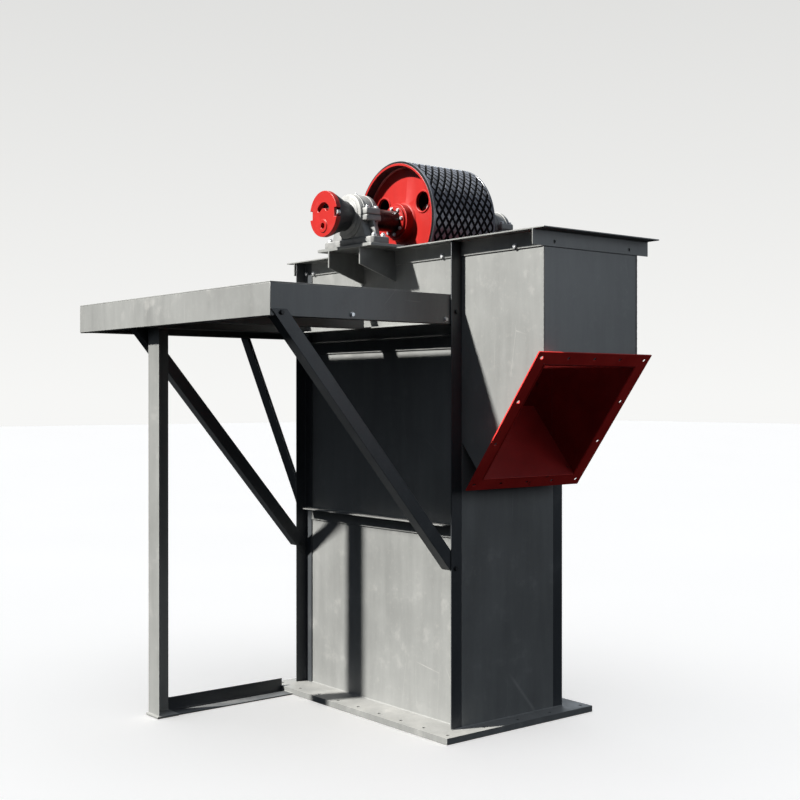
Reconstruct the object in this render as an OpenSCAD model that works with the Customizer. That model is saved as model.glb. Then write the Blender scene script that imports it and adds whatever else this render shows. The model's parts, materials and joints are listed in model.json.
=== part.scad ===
// Head section of a belt bucket elevator, standing on its base flange.
// The origin is the centre of the base flange's underside, on the floor.
// +X points to the discharge side, Y runs along the pulley shaft, +Z is up.

/* [Casing] */
// Distance of the wall under the chute from the pulley's axis
front_x = 630; // [580:10:700]
// Distance of the end wall from the pulley's axis
end_x = 665; // [580:10:680]
// Outer width of the casing over its flat panels
casing_w = 620; // [600:10:720]
// Height of the open top rim above the floor
casing_h = 2340; // [2280:10:2500]
// Thickness of the casing sheet
sheet_t = 5; // [4:1:8]
// Leg of the corner angles and of the rails
corner_leg = 65; // [55:5:75]
// Leg of the angle round the open top
rim_leg = 75; // [60:5:90]
// Thickness of the rolled angles
angle_t = 6; // [5:1:8]
// Root radius of the rolled sections
root_r = 5; // [3:1:6]
// Diameter of the bolt holes in the end rims
rim_hole_d = 14; // [10:1:18]
// Distance of those holes from the casing's corners
rim_hole_inset = 60; // [40:5:100]
// Drop of those holes below the open top
rim_hole_drop = 53; // [44:1:60]
// Height of the middle rail, as a share of the casing's height
mid_rail_share = 0.423; // [0.36:0.001:0.46]
// Gap between the upper rail's heel and the platform's underside
upper_rail_gap = 48; // [0:2:100]

/* [Base flange] */
// Reach of the base plates past the wall under the chute
base_reach_x = 100; // [80:5:150]
// Reach of the base plates past the corner angles
base_reach_y = 115; // [90:5:150]
// Thickness of each of the two base plates
base_t = 15; // [10:1:20]
// Distance from a plate's edge to its bolt holes
base_hole_inset = 43; // [30:1:50]
// Diameter of the anchor bolt holes
base_hole_d = 18; // [12:1:24]
// Spaces between anchor holes along a long side
base_spaces_x = 8; // [4:2:10]
// Spaces between anchor holes along a short side
base_spaces_y = 4; // [2:2:6]

/* [Discharge] */
// Reach of the head box past the casing
head_reach = 540; // [500:10:600]
// Drop of the chute flange's lowest edge below the open top rim
outlet_drop = 1177; // [1120:1:1240]
// Reach of that lowest edge past the casing
outlet_low_x = 103; // [95:1:120]
// Slope of the chute flange from level
outlet_slope = 53; // [50:1:56]
// Slope of the chute floor from level
floor_slope = 50; // [46:1:54]
// Length of the chute floor inside the casing
floor_inside = 130; // [100:10:180]
// Width of the chute flange bars
outlet_bar_w = 65; // [50:5:75]
// Thickness of the chute flange bars
outlet_bar_t = 6; // [5:1:12]
// Distance from the chute flange's edge to its holes
outlet_hole_inset = 32; // [20:1:40]
// Diameter of the chute flange's holes
outlet_hole_d = 18; // [12:1:22]
// Spaces between holes up each side of the chute flange
outlet_spaces_side = 3; // [2:1:5]
// Spaces between holes across the chute flange
outlet_spaces_across = 4; // [2:1:6]

/* [Head pulley] */
// Diameter of the pulley shell
pulley_d = 600; // [520:10:640]
// Length of the pulley's face
pulley_face = 430; // [360:10:460]
// Thickness of the pulley shell
shell_t = 12; // [8:1:16]
// Thickness of the rubber lagging
lagging_t = 12; // [8:1:15]
// Bare steel left at each end of the lagging
lagging_margin = 6; // [4:1:20]
// Depth of the end discs inside the shell
disc_recess = 60; // [40:1:90]
// Thickness of the end discs
disc_t = 14; // [10:1:20]
// Number of round holes in an end disc
disc_holes = 3; // [3:1:5]
// Diameter of the holes in an end disc
disc_hole_d = 100; // [60:5:105]
// Diameter of the circle that those holes lie on
disc_hole_circle = 370; // [350:5:390]
// Outer diameter of the pulley hubs
hub_d = 190; // [160:5:220]
// Length of the pulley hubs
hub_l = 120; // [80:5:140]
// Diameter of the head shaft
shaft_d = 110; // [90:5:120]
// Length of the far shaft end past its bearing
shaft_tail = 40; // [20:5:80]

/* [Bearings] */
// Height of the shaft above the bearing seats
bearing_h = 150; // [140:5:170]
// Length of a bearing's foot
bearing_l = 410; // [380:10:440]
// Width of a bearing along the shaft
bearing_w = 120; // [90:5:130]
// Diameter of the bearing's round body
bearing_body_d = 230; // [200:5:240]
// Height of a bearing's foot
bearing_foot_h = 38; // [25:1:45]
// Reach of a bearing's ears from the shaft's line
bearing_ear_x = 146; // [135:1:150]
// Height of each ear above or below the split
bearing_ear_h = 34; // [24:1:40]
// Thickness of the ribs under the ears
bearing_rib_t = 14; // [8:1:20]
// Distance of the bearing's middle from the panel
bearing_out = 150; // [140:5:160]
// Length of a bearing seat
seat_l = 450; // [440:10:500]
// Reach of a bearing seat past the panel
seat_reach = 230; // [215:5:260]
// Thickness of a bearing seat
seat_t = 15; // [10:1:20]
// Distance between the two gussets of a seat
gusset_pitch = 260; // [180:10:320]
// Thickness of the gussets
gusset_t = 10; // [6:1:14]
// Height of a gusset's outer edge
gusset_edge_h = 84; // [70:2:110]
// Height of a gusset at the panel
gusset_root_h = 160; // [130:5:200]
// Running clearance between the shaft and its bearings
run_gap = 0.05; // [0.02:0.01:0.1]
// Assembly clearance of round pieces that are fixed together
seat_gap = 0.2; // [0.1:0.05:0.3]

/* [Coupling] */
// Diameter of the coupling's drive disc
coupling_d = 228; // [200:2:240]
// Thickness of the drive disc
coupling_t = 26; // [20:1:34]
// Length of the coupling's hub behind the disc
coupling_hub_l = 105; // [80:5:110]
// Smallest diameter of the coupling's hub
coupling_neck_d = 150; // [140:5:170]
// Depth of the two notches in the disc's edge
coupling_notch = 22; // [16:1:28]
// Radius of the curved slot's middle line
coupling_slot_r = 42; // [38:1:50]
// Width of the curved slot
coupling_slot_w = 28; // [20:1:32]
// Diameter of the ring round the small hole
coupling_boss_d = 66; // [56:1:74]
// Height of that ring above the disc
coupling_boss_h = 4; // [2:1:8]
// Diameter of the small hole
coupling_hole_d = 30; // [20:1:40]
// Distance of the small hole from the shaft's line
coupling_hole_r = 60; // [56:1:66]

/* [Platform] */
// Reach of the platform past the panel's corner angles
deck_reach = 1005; // [800:10:1100]
// Reach of the platform past the back end wall
deck_wing = 575; // [500:10:700]
// Drop of the platform's underside below the open top rim
deck_drop = 397; // [350:1:490]
// Depth of the channel beams
channel_h = 140; // [120:10:160]
// Flange width of the channel beams
channel_w = 58; // [50:2:70]
// Thickness of the channel beams
channel_t = 7; // [5:1:9]
// Width of the open slot between the deck plate and the casing's corner angles
deck_slot = 235; // [0:5:260]
// Thickness of the deck plate
deck_t = 5; // [4:1:8]
// Leg of the braces
brace_leg = 63; // [50:1:70]
// Drop of the front braces' feet below the platform
brace_drop = 1221; // [1080:1:1340]
// Drop of the wing braces' feet below the platform
wing_brace_drop = 923; // [790:1:1040]
// How far the front braces lap over the platform's beams
brace_lap = 30; // [20:5:80]
// Leg of the post and of the ground beam's flat lip
post_leg = 110; // [60:5:120]
// Reach of the post's heel past the back of the joist above it
post_out = 20; // [0:5:40]
// Distance of the post from the platform's outer edge
post_inset = 90; // [70:5:150]
// Length of the post's foot plate
post_foot_l = 124; // [122:2:160]
// Width of the post's foot plate
post_foot_w = 120; // [112:2:150]
// Thickness of the post's foot plate
post_foot_t = 10; // [8:1:14]
// Height of the ground beam
ground_beam_h = 70; // [50:5:80]

/* [Hidden] */
$fn = 96;
eps = 1;
half_w = casing_w / 2;
tip_y = half_w + corner_leg;
base_top = 2 * base_t;
base_x = front_x + base_reach_x;
base_y = tip_y + base_reach_y;
base_hole_x = base_x - base_hole_inset;
base_hole_y = base_y - base_hole_inset;
panel_h = casing_h - base_top;
deck_z = casing_h - deck_drop;
mid_rail_z = round(casing_h * mid_rail_share);
upper_rail_z = deck_z - upper_rail_gap;
outlet_low_z = casing_h - outlet_drop;
brace_foot_z = deck_z - brace_drop;
wing_brace_foot_z = deck_z - wing_brace_drop;

head_x = front_x + head_reach;
outlet_x = front_x + outlet_low_x;
outlet_l = (head_x - outlet_x) / cos(outlet_slope) + outlet_bar_w;
inner_low_x = outlet_x + outlet_bar_w * cos(outlet_slope);
inner_low_z = outlet_low_z + outlet_bar_w * sin(outlet_slope);
front_plate_low_z = outlet_low_z + (head_x - outlet_x) * tan(outlet_slope);
floor_end_x = front_x - sheet_t - floor_inside;
floor_depth = sheet_t / cos(floor_slope);

seat_z = casing_h + seat_t;
axis_z = seat_z + bearing_h;
bearing_y = half_w + bearing_out;
shell_bore_d = pulley_d - 2 * shell_t;
bearing_outer_y = bearing_y + bearing_w / 2;
coupling_gap = 15;
coupling_y = bearing_outer_y + coupling_gap + coupling_hub_l;
shaft_far_y = bearing_outer_y + shaft_tail;

deck_outer_y = tip_y + deck_reach;
deck_end_x = front_x - 2 * angle_t;
deck_wing_x = end_x + deck_wing;
deck_under_z = deck_z + channel_h;
brace_low_y = half_w + corner_leg / 4;
post_y = deck_outer_y - post_inset;
post_x = deck_end_x + post_out;

paint = [0.27, 0.29, 0.31];
paint_light = [0.45, 0.46, 0.46];
bright_red = [0.90, 0.20, 0.14];
primer_red = [0.36, 0.07, 0.07];
rubber = [0.06, 0.06, 0.07];
dark_cast = [0.08, 0.09, 0.10];
steel = [0.55, 0.56, 0.57];

// A box between two limits on each axis
module block(x, y, z) {
    translate([x[0], y[0], z[0]])
        cube([x[1] - x[0], y[1] - y[0], z[1] - z[0]]);
}

// Copies its children to the side that sy names, from the +Y side
module on_side(sy) {
    mirror([0, sy < 0 ? 1 : 0, 0]) children();
}

// Copies its children to the end that sx names, from the -X end
module on_end(sx) {
    mirror([sx > 0 ? 1 : 0, 0, 0]) children();
}

// Points of an arc, from one angle to another
function arc(c, r, from, to, steps) =
    [for (i = [0 : steps]) let (a = from + (to - from) * i / steps) c + r * [cos(a), sin(a)]];

// Section of a rolled angle with its heel at the origin
module angle_section(leg) {
    root = angle_t + root_r;
    polygon(concat(
        [[0, 0], [leg, 0], [leg, angle_t]],
        arc([root, root], root_r, 270, 180, 4),
        [[angle_t, leg], [0, leg]]
    ));
}

// Section of a channel with the back of its web on the Y axis
module channel_section() {
    root = channel_t + root_r;
    polygon(concat(
        [[0, 0], [channel_w, 0], [channel_w, channel_t]],
        arc([root, root], root_r, 270, 180, 4),
        arc([root, channel_h - root], root_r, 180, 90, 4),
        [[channel_w, channel_h - channel_t], [channel_w, channel_h], [0, channel_h]]
    ));
}

// A channel beam along Y, with the back of its web at x and its flanges towards -X
module channel_along_y(x, y) {
    translate([x, y[0], deck_z])
        mirror([1, 0, 0])
            rotate([90, 0, 0])
                mirror([0, 0, 1])
                    linear_extrude(y[1] - y[0]) channel_section();
}

// A channel beam along X, with the back of its web at y and its flanges towards +Y
module channel_along_x(x, y) {
    translate([x[0], y, deck_z])
        rotate([90, 0, 90])
            linear_extrude(x[1] - x[0]) channel_section();
}

module base_ring(z) {
    difference() {
        block([-base_x, base_x], [-base_y, base_y], [z, z + base_t]);
        block(
            [-end_x + sheet_t, front_x - sheet_t],
            [-half_w + sheet_t, half_w - sheet_t],
            [z - eps, z + base_t + eps]
        );
        for (i = [0 : base_spaces_x], sy = [-1, 1])
            translate([base_hole_x * (2 * i / base_spaces_x - 1), sy * base_hole_y, z - eps])
                cylinder(d = base_hole_d, h = base_t + 2 * eps);
        for (i = [1 : base_spaces_y - 1], sx = [-1, 1])
            translate([sx * base_hole_x, base_hole_y * (2 * i / base_spaces_y - 1), z - eps])
                cylinder(d = base_hole_d, h = base_t + 2 * eps);
    }
}

module base_plate() {
    color(paint) base_ring(0);
}

module casing_foot() {
    color(paint) base_ring(base_t);
}

module side_panel(sy) {
    color(paint_light) on_side(sy)
        block([-end_x + sheet_t, front_x - sheet_t], [half_w - sheet_t, half_w], [base_top, casing_h]);
}

module end_wall() {
    color(paint)
        block([-end_x, -end_x + sheet_t], [-half_w, half_w], [base_top, casing_h]);
}

// The wall under the chute: its top is cut to the chute floor's slope
module discharge_wall() {
    color(paint)
        rotate([90, 0, 0])
            translate([0, 0, -half_w])
                linear_extrude(casing_w)
                    polygon([
                        [front_x - sheet_t, base_top],
                        [front_x, base_top],
                        [front_x, floor_under_z(front_x)],
                        [front_x - sheet_t, floor_under_z(front_x - sheet_t)]
                    ]);
}

// Height of the chute floor's underside at a place along X
function floor_under_z(x) = inner_low_z + (inner_low_x - x) * tan(floor_slope);

module corner_angle(sx, sy) {
    color(paint) on_end(sx) on_side(sy)
        translate([sx > 0 ? -front_x : -end_x, half_w, base_top])
            linear_extrude(panel_h - angle_t) angle_section(corner_leg);
}

// A level angle along a wall's outer face: one leg stands out, the other hangs on the wall
module level_angle(x, leg, top_z) {
    translate([x[0], half_w, top_z])
        rotate([0, 90, 0])
            linear_extrude(x[1] - x[0]) angle_section(leg);
}

module panel_rail(sy, top_z) {
    color(paint) on_side(sy)
        level_angle([-end_x + corner_leg, front_x - corner_leg], corner_leg, top_z);
}

// The top angle is notched where it passes over the corner angles
module rim_side(sy) {
    color(paint) on_side(sy)
        difference() {
            level_angle([-end_x, head_x], rim_leg, casing_h);
            for (x = [-end_x, front_x - corner_leg])
                block(
                    [x - eps * (x < 0 ? 1 : 0), x + corner_leg],
                    [half_w - eps, half_w + rim_leg],
                    [casing_h - rim_leg - eps, casing_h - angle_t]
                );
        }
}

// The angle across an end of the open top, as long as the side angles are wide apart
module rim_across(x) {
    color(paint)
        difference() {
            translate([x, half_w + rim_leg, casing_h])
                rotate([90, 90, 0])
                    linear_extrude(casing_w + 2 * rim_leg) angle_section(rim_leg);
            for (sy = [-1, 1])
                translate([x - eps, sy * (half_w - rim_hole_inset), casing_h - rim_hole_drop])
                    rotate([0, 90, 0])
                        cylinder(d = rim_hole_d, h = angle_t + 2 * eps);
        }
}

module rim_discharge() {
    rim_across(head_x);
}

module rim_end() {
    mirror([1, 0, 0]) rim_across(end_x);
}

// Outline of the head's side above the chute, in X and Z
module head_side(sy) {
    color(paint_light) on_side(sy)
        translate([0, half_w, 0])
            rotate([90, 0, 0])
                linear_extrude(sheet_t)
                    polygon([
                        [front_x - sheet_t, casing_h],
                        [front_x - sheet_t, floor_under_z(front_x - sheet_t)],
                        [inner_low_x, inner_low_z],
                        [head_x, front_plate_low_z],
                        [head_x, casing_h]
                    ]);
}

module head_plate() {
    inner_x = head_x - sheet_t;
    color(paint)
        rotate([90, 0, 0])
            translate([0, 0, -half_w + sheet_t])
                linear_extrude(casing_w - 2 * sheet_t)
                    polygon([
                        [inner_x, front_plate_low_z - sheet_t * tan(outlet_slope)],
                        [head_x, front_plate_low_z],
                        [head_x, casing_h],
                        [inner_x, casing_h]
                    ]);
}

// The floor ends flush with the face of the chute flange
module chute_floor() {
    meet = sheet_t / sin(floor_slope + outlet_slope);
    color(primer_red)
        rotate([90, 0, 0])
            translate([0, 0, -half_w + sheet_t])
                linear_extrude(casing_w - 2 * sheet_t)
                    polygon([
                        [floor_end_x, floor_under_z(floor_end_x)],
                        [inner_low_x, inner_low_z],
                        [inner_low_x + meet * cos(outlet_slope), inner_low_z + meet * sin(outlet_slope)],
                        [floor_end_x, floor_under_z(floor_end_x) + floor_depth]
                    ]);
}

// A flat frame round the chute mouth; its top bar is cut upright to seat on the head plate
module chute_flange() {
    half_outer = half_w + outlet_bar_w;
    rows = outlet_l - 2 * outlet_hole_inset;
    across = half_outer - outlet_hole_inset;
    inner_l = outlet_l - outlet_bar_w;
    cut_z = [-eps, outlet_bar_t + eps];
    color(primer_red)
        translate([outlet_x, 0, outlet_low_z])
            rotate([0, -outlet_slope, 0])
                difference() {
                    block([0, outlet_l], [-half_outer, half_outer], [0, outlet_bar_t]);
                    rotate([90, 0, 0])
                        translate([0, 0, -half_w])
                            linear_extrude(casing_w)
                                polygon([
                                    [outlet_bar_w, cut_z[0]],
                                    [inner_l + cut_z[0] * tan(outlet_slope), cut_z[0]],
                                    [inner_l + cut_z[1] * tan(outlet_slope), cut_z[1]],
                                    [outlet_bar_w, cut_z[1]]
                                ]);
                    for (i = [0 : outlet_spaces_side], sy = [-1, 1])
                        translate([outlet_hole_inset + rows * i / outlet_spaces_side, sy * across, -eps])
                            cylinder(d = outlet_hole_d, h = outlet_bar_t + 2 * eps);
                    for (i = [1 : outlet_spaces_across - 1], x = [0, 1])
                        translate([
                            outlet_hole_inset + rows * x,
                            across * (2 * i / outlet_spaces_across - 1),
                            -eps
                        ])
                            cylinder(d = outlet_hole_d, h = outlet_bar_t + 2 * eps);
                }
}

// A gusset under a seat, notched round the rim angle and clear of its root
module seat_gusset(x) {
    cope = root_r + 3;
    translate([x - gusset_t / 2, 0, 0])
        rotate([90, 0, 90])
            linear_extrude(gusset_t)
                polygon([
                    [half_w + seat_reach, casing_h],
                    [half_w + seat_reach, casing_h - gusset_edge_h],
                    [half_w, casing_h - gusset_root_h],
                    [half_w, casing_h - rim_leg],
                    [half_w + angle_t, casing_h - rim_leg],
                    [half_w + angle_t, casing_h - angle_t - cope],
                    [half_w + angle_t + cope, casing_h - angle_t],
                    [half_w + rim_leg, casing_h - angle_t],
                    [half_w + rim_leg, casing_h]
                ]);
}

module bearing_seat(sy) {
    color(paint) on_side(sy) {
        block([-seat_l / 2, seat_l / 2], [half_w, half_w + seat_reach], [casing_h, seat_z]);
        for (sx = [-1, 1])
            seat_gusset(sx * gusset_pitch / 2);
    }
}

// Round bore of both bearing halves, along Y
module bearing_bore() {
    translate([0, bearing_y + bearing_w, axis_z])
        rotate([90, 0, 0])
            cylinder(d = shaft_d + 2 * run_gap, h = 2 * bearing_w);
}

// Extrudes an outline in X and Z along Y, centred on the bearing
module across_bearing(w) {
    translate([0, bearing_y + w / 2, 0])
        rotate([90, 0, 0])
            linear_extrude(w) children();
}

// Half of the bearing's round body, above or below the split
module half_drum(w, sz) {
    across_bearing(w)
        intersection() {
            translate([0, axis_z]) circle(d = bearing_body_d);
            translate([-bearing_body_d, sz > 0 ? axis_z : axis_z - bearing_body_d])
                square([2 * bearing_body_d, bearing_body_d]);
        }
}

module bearing_base(sy) {
    ear_y = bearing_w - 28;
    ear_z = axis_z - bearing_ear_h;
    foot_top = seat_z + bearing_foot_h;
    foot_cut = 16;
    trough_x = bearing_body_d / 2 - 8;
    flare_x = trough_x + 40;
    flare_top_x = trough_x + 32;
    rib_foot_x = bearing_ear_x + 30;
    rib_top_x = bearing_ear_x - 4;
    l = bearing_l / 2;
    w = bearing_w / 2;
    color(dark_cast) on_side(sy)
        difference() {
            union() {
                translate([0, bearing_y, seat_z])
                    linear_extrude(bearing_foot_h)
                        polygon([
                            [-l, foot_cut - w], [foot_cut - l, -w], [l - foot_cut, -w], [l, foot_cut - w],
                            [l, w - foot_cut], [l - foot_cut, w], [foot_cut - l, w], [-l, w - foot_cut]
                        ]);
                across_bearing(bearing_w - 20)
                    polygon([
                        [-flare_x, seat_z], [flare_x, seat_z],
                        [flare_top_x, foot_top], [trough_x, ear_z],
                        [trough_x, axis_z], [-trough_x, axis_z],
                        [-trough_x, ear_z], [-flare_top_x, foot_top]
                    ]);
                half_drum(bearing_w - 4, -1);
                across_bearing(ear_y)
                    translate([-bearing_ear_x, ear_z])
                        square([2 * bearing_ear_x, bearing_ear_h]);
                across_bearing(bearing_rib_t)
                    polygon([
                        [-rib_foot_x, foot_top - eps], [rib_foot_x, foot_top - eps],
                        [rib_top_x, ear_z + eps], [-rib_top_x, ear_z + eps]
                    ]);
            }
            bearing_bore();
        }
}

module bearing_cap(sy) {
    ear_y = bearing_w - 32;
    color(steel) on_side(sy)
        difference() {
            union() {
                half_drum(bearing_w - 4, 1);
                across_bearing(ear_y)
                    translate([-bearing_ear_x + 2, axis_z])
                        square([2 * bearing_ear_x - 4, bearing_ear_h]);
            }
            bearing_bore();
        }
}

// Keeps the part of a beam over an outline in X and Y, which gives its ends their mitres
module mitred(outline) {
    intersection() {
        children();
        translate([0, 0, deck_z - eps])
            linear_extrude(channel_h + 2 * eps) polygon(outline);
    }
}

module platform_front_beam() {
    inner_y = -deck_outer_y + channel_w;
    color(paint)
        mitred([
            [-deck_wing_x, -deck_outer_y], [deck_end_x, -deck_outer_y],
            [deck_end_x - channel_w, inner_y], [-deck_wing_x + channel_w, inner_y]
        ])
            channel_along_x([-deck_wing_x, deck_end_x], -deck_outer_y);
}

module platform_side_beam() {
    inner_x = deck_end_x - channel_w;
    end_y = -half_w - angle_t;
    color(paint)
        mitred([
            [deck_end_x, -deck_outer_y], [deck_end_x, end_y],
            [inner_x, end_y], [inner_x, -deck_outer_y + channel_w]
        ])
            channel_along_y(deck_end_x, [-deck_outer_y, end_y]);
}

module platform_wing_beam() {
    inner_x = -deck_wing_x + channel_w;
    color(paint)
        mitred([
            [-deck_wing_x, -deck_outer_y], [inner_x, -deck_outer_y + channel_w],
            [inner_x, tip_y - channel_w], [-deck_wing_x, tip_y]
        ])
            mirror([1, 0, 0])
                channel_along_y(deck_wing_x, [-deck_outer_y, tip_y]);
}

module platform_back_beam() {
    inner_y = tip_y - channel_w;
    color(paint)
        mitred([
            [-deck_wing_x, tip_y], [-deck_wing_x + channel_w, inner_y],
            [-end_x, inner_y], [-end_x, tip_y]
        ])
            mirror([0, 1, 0])
                channel_along_x([-deck_wing_x, -end_x], -tip_y);
}

// The beam along the casing, between the two joists that pass the corner angles
module platform_inner_beam() {
    inner_x = deck_end_x - channel_w;
    color(paint)
        mirror([0, 1, 0])
            channel_along_x([-inner_x, inner_x], tip_y);
}

// Joists behind the outer beam: one over the post and one in the middle
module platform_joists() {
    color(paint) {
        mirror([1, 0, 0])
            channel_along_y(deck_end_x, [-deck_outer_y + channel_w, -half_w - angle_t]);
        channel_along_y(channel_w / 2, [-deck_outer_y + channel_w, -tip_y - channel_w]);
    }
}

// The deck plate stops short of the casing; a strip of it runs on along the end wall
module platform_deck() {
    slot_y = -tip_y - deck_slot;
    color(paint) {
        block([-deck_wing_x, deck_end_x], [-deck_outer_y, slot_y], [deck_under_z, deck_under_z + deck_t]);
        block([-deck_wing_x, -end_x], [slot_y, tip_y], [deck_under_z, deck_under_z + deck_t]);
    }
}

// A sloping bar in a plane: upright cut at its low end, level cut at its high end
module brace_outline(reach, rise, w) {
    drop = w * sqrt(reach * reach + rise * rise) / reach;
    polygon([[0, 0], [reach, rise], [reach - drop * reach / rise, rise], [0, drop]]);
}

// An angle from a corner angle's outstanding leg up over the platform's beams, its face at x
module front_brace(x) {
    reach = deck_outer_y - brace_low_y;
    rise = deck_z + brace_lap - brace_foot_z;
    color(paint) {
        translate([x, -brace_low_y, brace_foot_z])
            rotate([90, 0, -90])
                linear_extrude(angle_t) brace_outline(reach, rise, brace_leg);
        intersection() {
            translate([x, -brace_low_y, brace_foot_z])
                rotate([90, 0, -90])
                    linear_extrude(brace_leg) brace_outline(reach, rise, angle_t);
            block([x - brace_leg, x], [-deck_outer_y, -tip_y - seat_gap], [0, deck_z]);
        }
    }
}

module brace_side() {
    front_brace(front_x - angle_t);
}

// The brace over the post ends against the outer beam, which runs on past it
module brace_post() {
    difference() {
        front_brace(-end_x + 2 * angle_t);
        block(
            [-deck_wing_x, deck_end_x],
            [-deck_outer_y - eps, -deck_outer_y + channel_w + seat_gap],
            [deck_z, deck_under_z]
        );
    }
}

// An angle from the casing's corner up to the wing beam, its face at the side that sy names
module wing_brace(sy) {
    reach = deck_wing;
    rise = deck_z - wing_brace_foot_z;
    color(paint) on_side(sy)
        translate([-end_x, tip_y, wing_brace_foot_z])
            mirror([1, 0, 0])
                rotate([90, 0, 0]) {
                    linear_extrude(angle_t) brace_outline(reach, rise, brace_leg);
                    linear_extrude(brace_leg) brace_outline(reach, rise, angle_t);
                }
}

// The foot plate ends flush with the post's face, where the ground beam meets both
module post() {
    middle_x = -post_x + post_leg / 2;
    foot_y = -post_y + post_leg;
    color(paint) {
        block(
            [middle_x - post_foot_l / 2, middle_x + post_foot_l / 2],
            [foot_y - post_foot_w, foot_y],
            [0, post_foot_t]
        );
        translate([-post_x, -post_y, post_foot_t])
            linear_extrude(deck_z - post_foot_t) angle_section(post_leg);
    }
}

module ground_beam() {
    y = [-post_y + post_leg, -base_y];
    color(paint) {
        block([-post_x, -post_x + angle_t], y, [0, ground_beam_h]);
        block([-post_x, -post_x + post_leg], y, [0, angle_t]);
    }
}

module pulley_shell() {
    color(steel)
        translate([0, pulley_face / 2, axis_z])
            rotate([90, 0, 0])
                difference() {
                    cylinder(d = pulley_d, h = pulley_face);
                    translate([0, 0, -eps])
                        cylinder(d = shell_bore_d, h = pulley_face + 2 * eps);
                }
}

module pulley_lagging() {
    lagging_l = pulley_face - 2 * lagging_margin;
    color(rubber)
        translate([0, lagging_l / 2, axis_z])
            rotate([90, 0, 0])
                difference() {
                    cylinder(d = pulley_d + 2 * lagging_t, h = lagging_l);
                    translate([0, 0, -eps])
                        cylinder(d = pulley_d + 2 * seat_gap, h = lagging_l + 2 * eps);
                }
}

module pulley_disc(sy) {
    color(bright_red) on_side(sy)
        translate([0, pulley_face / 2 - disc_recess, axis_z])
            rotate([90, 0, 0])
                difference() {
                    union() {
                        cylinder(d = shell_bore_d - 2 * seat_gap, h = disc_t);
                        translate([0, 0, -(hub_l - disc_t) / 2])
                            cylinder(d = hub_d, h = hub_l);
                    }
                    translate([0, 0, -hub_l])
                        cylinder(d = shaft_d + 2 * seat_gap, h = 3 * hub_l);
                    for (i = [0 : disc_holes - 1])
                        rotate(360 * i / disc_holes + 30)
                            translate([disc_hole_circle / 2, 0, -eps])
                                cylinder(d = disc_hole_d, h = disc_t + 2 * eps);
                }
}

module head_shaft() {
    color(steel)
        translate([0, shaft_far_y, axis_z])
            rotate([90, 0, 0])
                cylinder(d = shaft_d, h = shaft_far_y + coupling_y);
}

module coupling_hub() {
    head_r = coupling_d / 2 - 8;
    head_l = 18;
    neck_l = 20;
    color(dark_cast)
        translate([0, -coupling_y, axis_z])
            rotate([-90, 0, 0])
                rotate_extrude()
                    polygon([
                        [shaft_d / 2 + seat_gap, 0],
                        [head_r, 0],
                        [head_r, head_l],
                        [coupling_neck_d / 2, coupling_hub_l - neck_l],
                        [coupling_neck_d / 2, coupling_hub_l],
                        [shaft_d / 2 + seat_gap, coupling_hub_l]
                    ]);
}

// Outline of a kidney-shaped slot round the origin, between two angles
module kidney(r, w, from, to) {
    polygon(concat(
        arc([0, 0], r + w / 2, from, to, 12),
        arc(r * [cos(to), sin(to)], w / 2, to + 20, to + 160, 6),
        arc([0, 0], r - w / 2, to, from, 8),
        arc(r * [cos(from), sin(from)], w / 2, from + 200, from + 340, 6)
    ));
}

module coupling_disc() {
    color(bright_red)
        translate([0, -coupling_y, axis_z])
            rotate([90, 0, 0])
                difference() {
                    union() {
                        cylinder(d = coupling_d, h = coupling_t);
                        translate([0, -coupling_hole_r, 0])
                            cylinder(d = coupling_boss_d, h = coupling_t + coupling_boss_h);
                    }
                    translate([0, -coupling_hole_r, -eps])
                        cylinder(d = coupling_hole_d, h = coupling_t + coupling_boss_h + 2 * eps);
                    translate([0, 0, -eps])
                        linear_extrude(coupling_t + 2 * eps)
                            kidney(coupling_slot_r, coupling_slot_w, 35, 145);
                    for (sx = [-1, 1])
                        block(
                            [sx * coupling_d / 2 - coupling_notch, sx * coupling_d / 2 + coupling_notch],
                            [-coupling_notch, coupling_notch],
                            [-eps, coupling_t + eps]
                        );
                }
}

base_plate();
casing_foot();
side_panel(-1);  // front_panel
side_panel(1);  // back_panel
end_wall();
discharge_wall();
corner_angle(1, -1);  // corner_front_discharge
corner_angle(-1, -1);  // corner_front_end
corner_angle(1, 1);  // corner_back_discharge
corner_angle(-1, 1);  // corner_back_end
panel_rail(-1, mid_rail_z);  // front_rail
panel_rail(1, mid_rail_z);  // back_rail
panel_rail(-1, upper_rail_z);  // front_upper_rail
panel_rail(1, upper_rail_z);  // back_upper_rail
rim_side(-1);  // rim_front
rim_side(1);  // rim_back
rim_end();
rim_discharge();
head_side(-1);  // head_side_front
head_side(1);  // head_side_back
head_plate();
chute_floor();
chute_flange();
bearing_seat(-1);  // bearing_seat_front
bearing_seat(1);  // bearing_seat_back
bearing_base(-1);  // bearing_base_front
bearing_base(1);  // bearing_base_back
bearing_cap(-1);  // bearing_cap_front
bearing_cap(1);  // bearing_cap_back
platform_front_beam();
platform_side_beam();
platform_wing_beam();
platform_back_beam();
platform_inner_beam();
platform_joists();
platform_deck();
brace_side();
brace_post();
wing_brace(-1);  // brace_wing_front
wing_brace(1);  // brace_wing_back
post();
ground_beam();
pulley_shell();
pulley_lagging();
pulley_disc(-1);  // pulley_disc_front
pulley_disc(1);  // pulley_disc_back
head_shaft();
coupling_hub();
coupling_disc();
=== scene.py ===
"""Looks of a belt bucket elevator's head section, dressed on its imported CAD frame.

The frame gives every main shape. This script softens the edges of the plates and rolled
sections, puts detailed castings, lagging, bolts and weld beads on them, and paints them.
Lengths are in metres, +X is the discharge side, Y is the pulley's shaft and +Z is up.
"""

from __future__ import annotations

import json
import logging
import math
from dataclasses import dataclass
from enum import Enum

import bmesh
import bpy
from mathutils import Matrix, Vector

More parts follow.
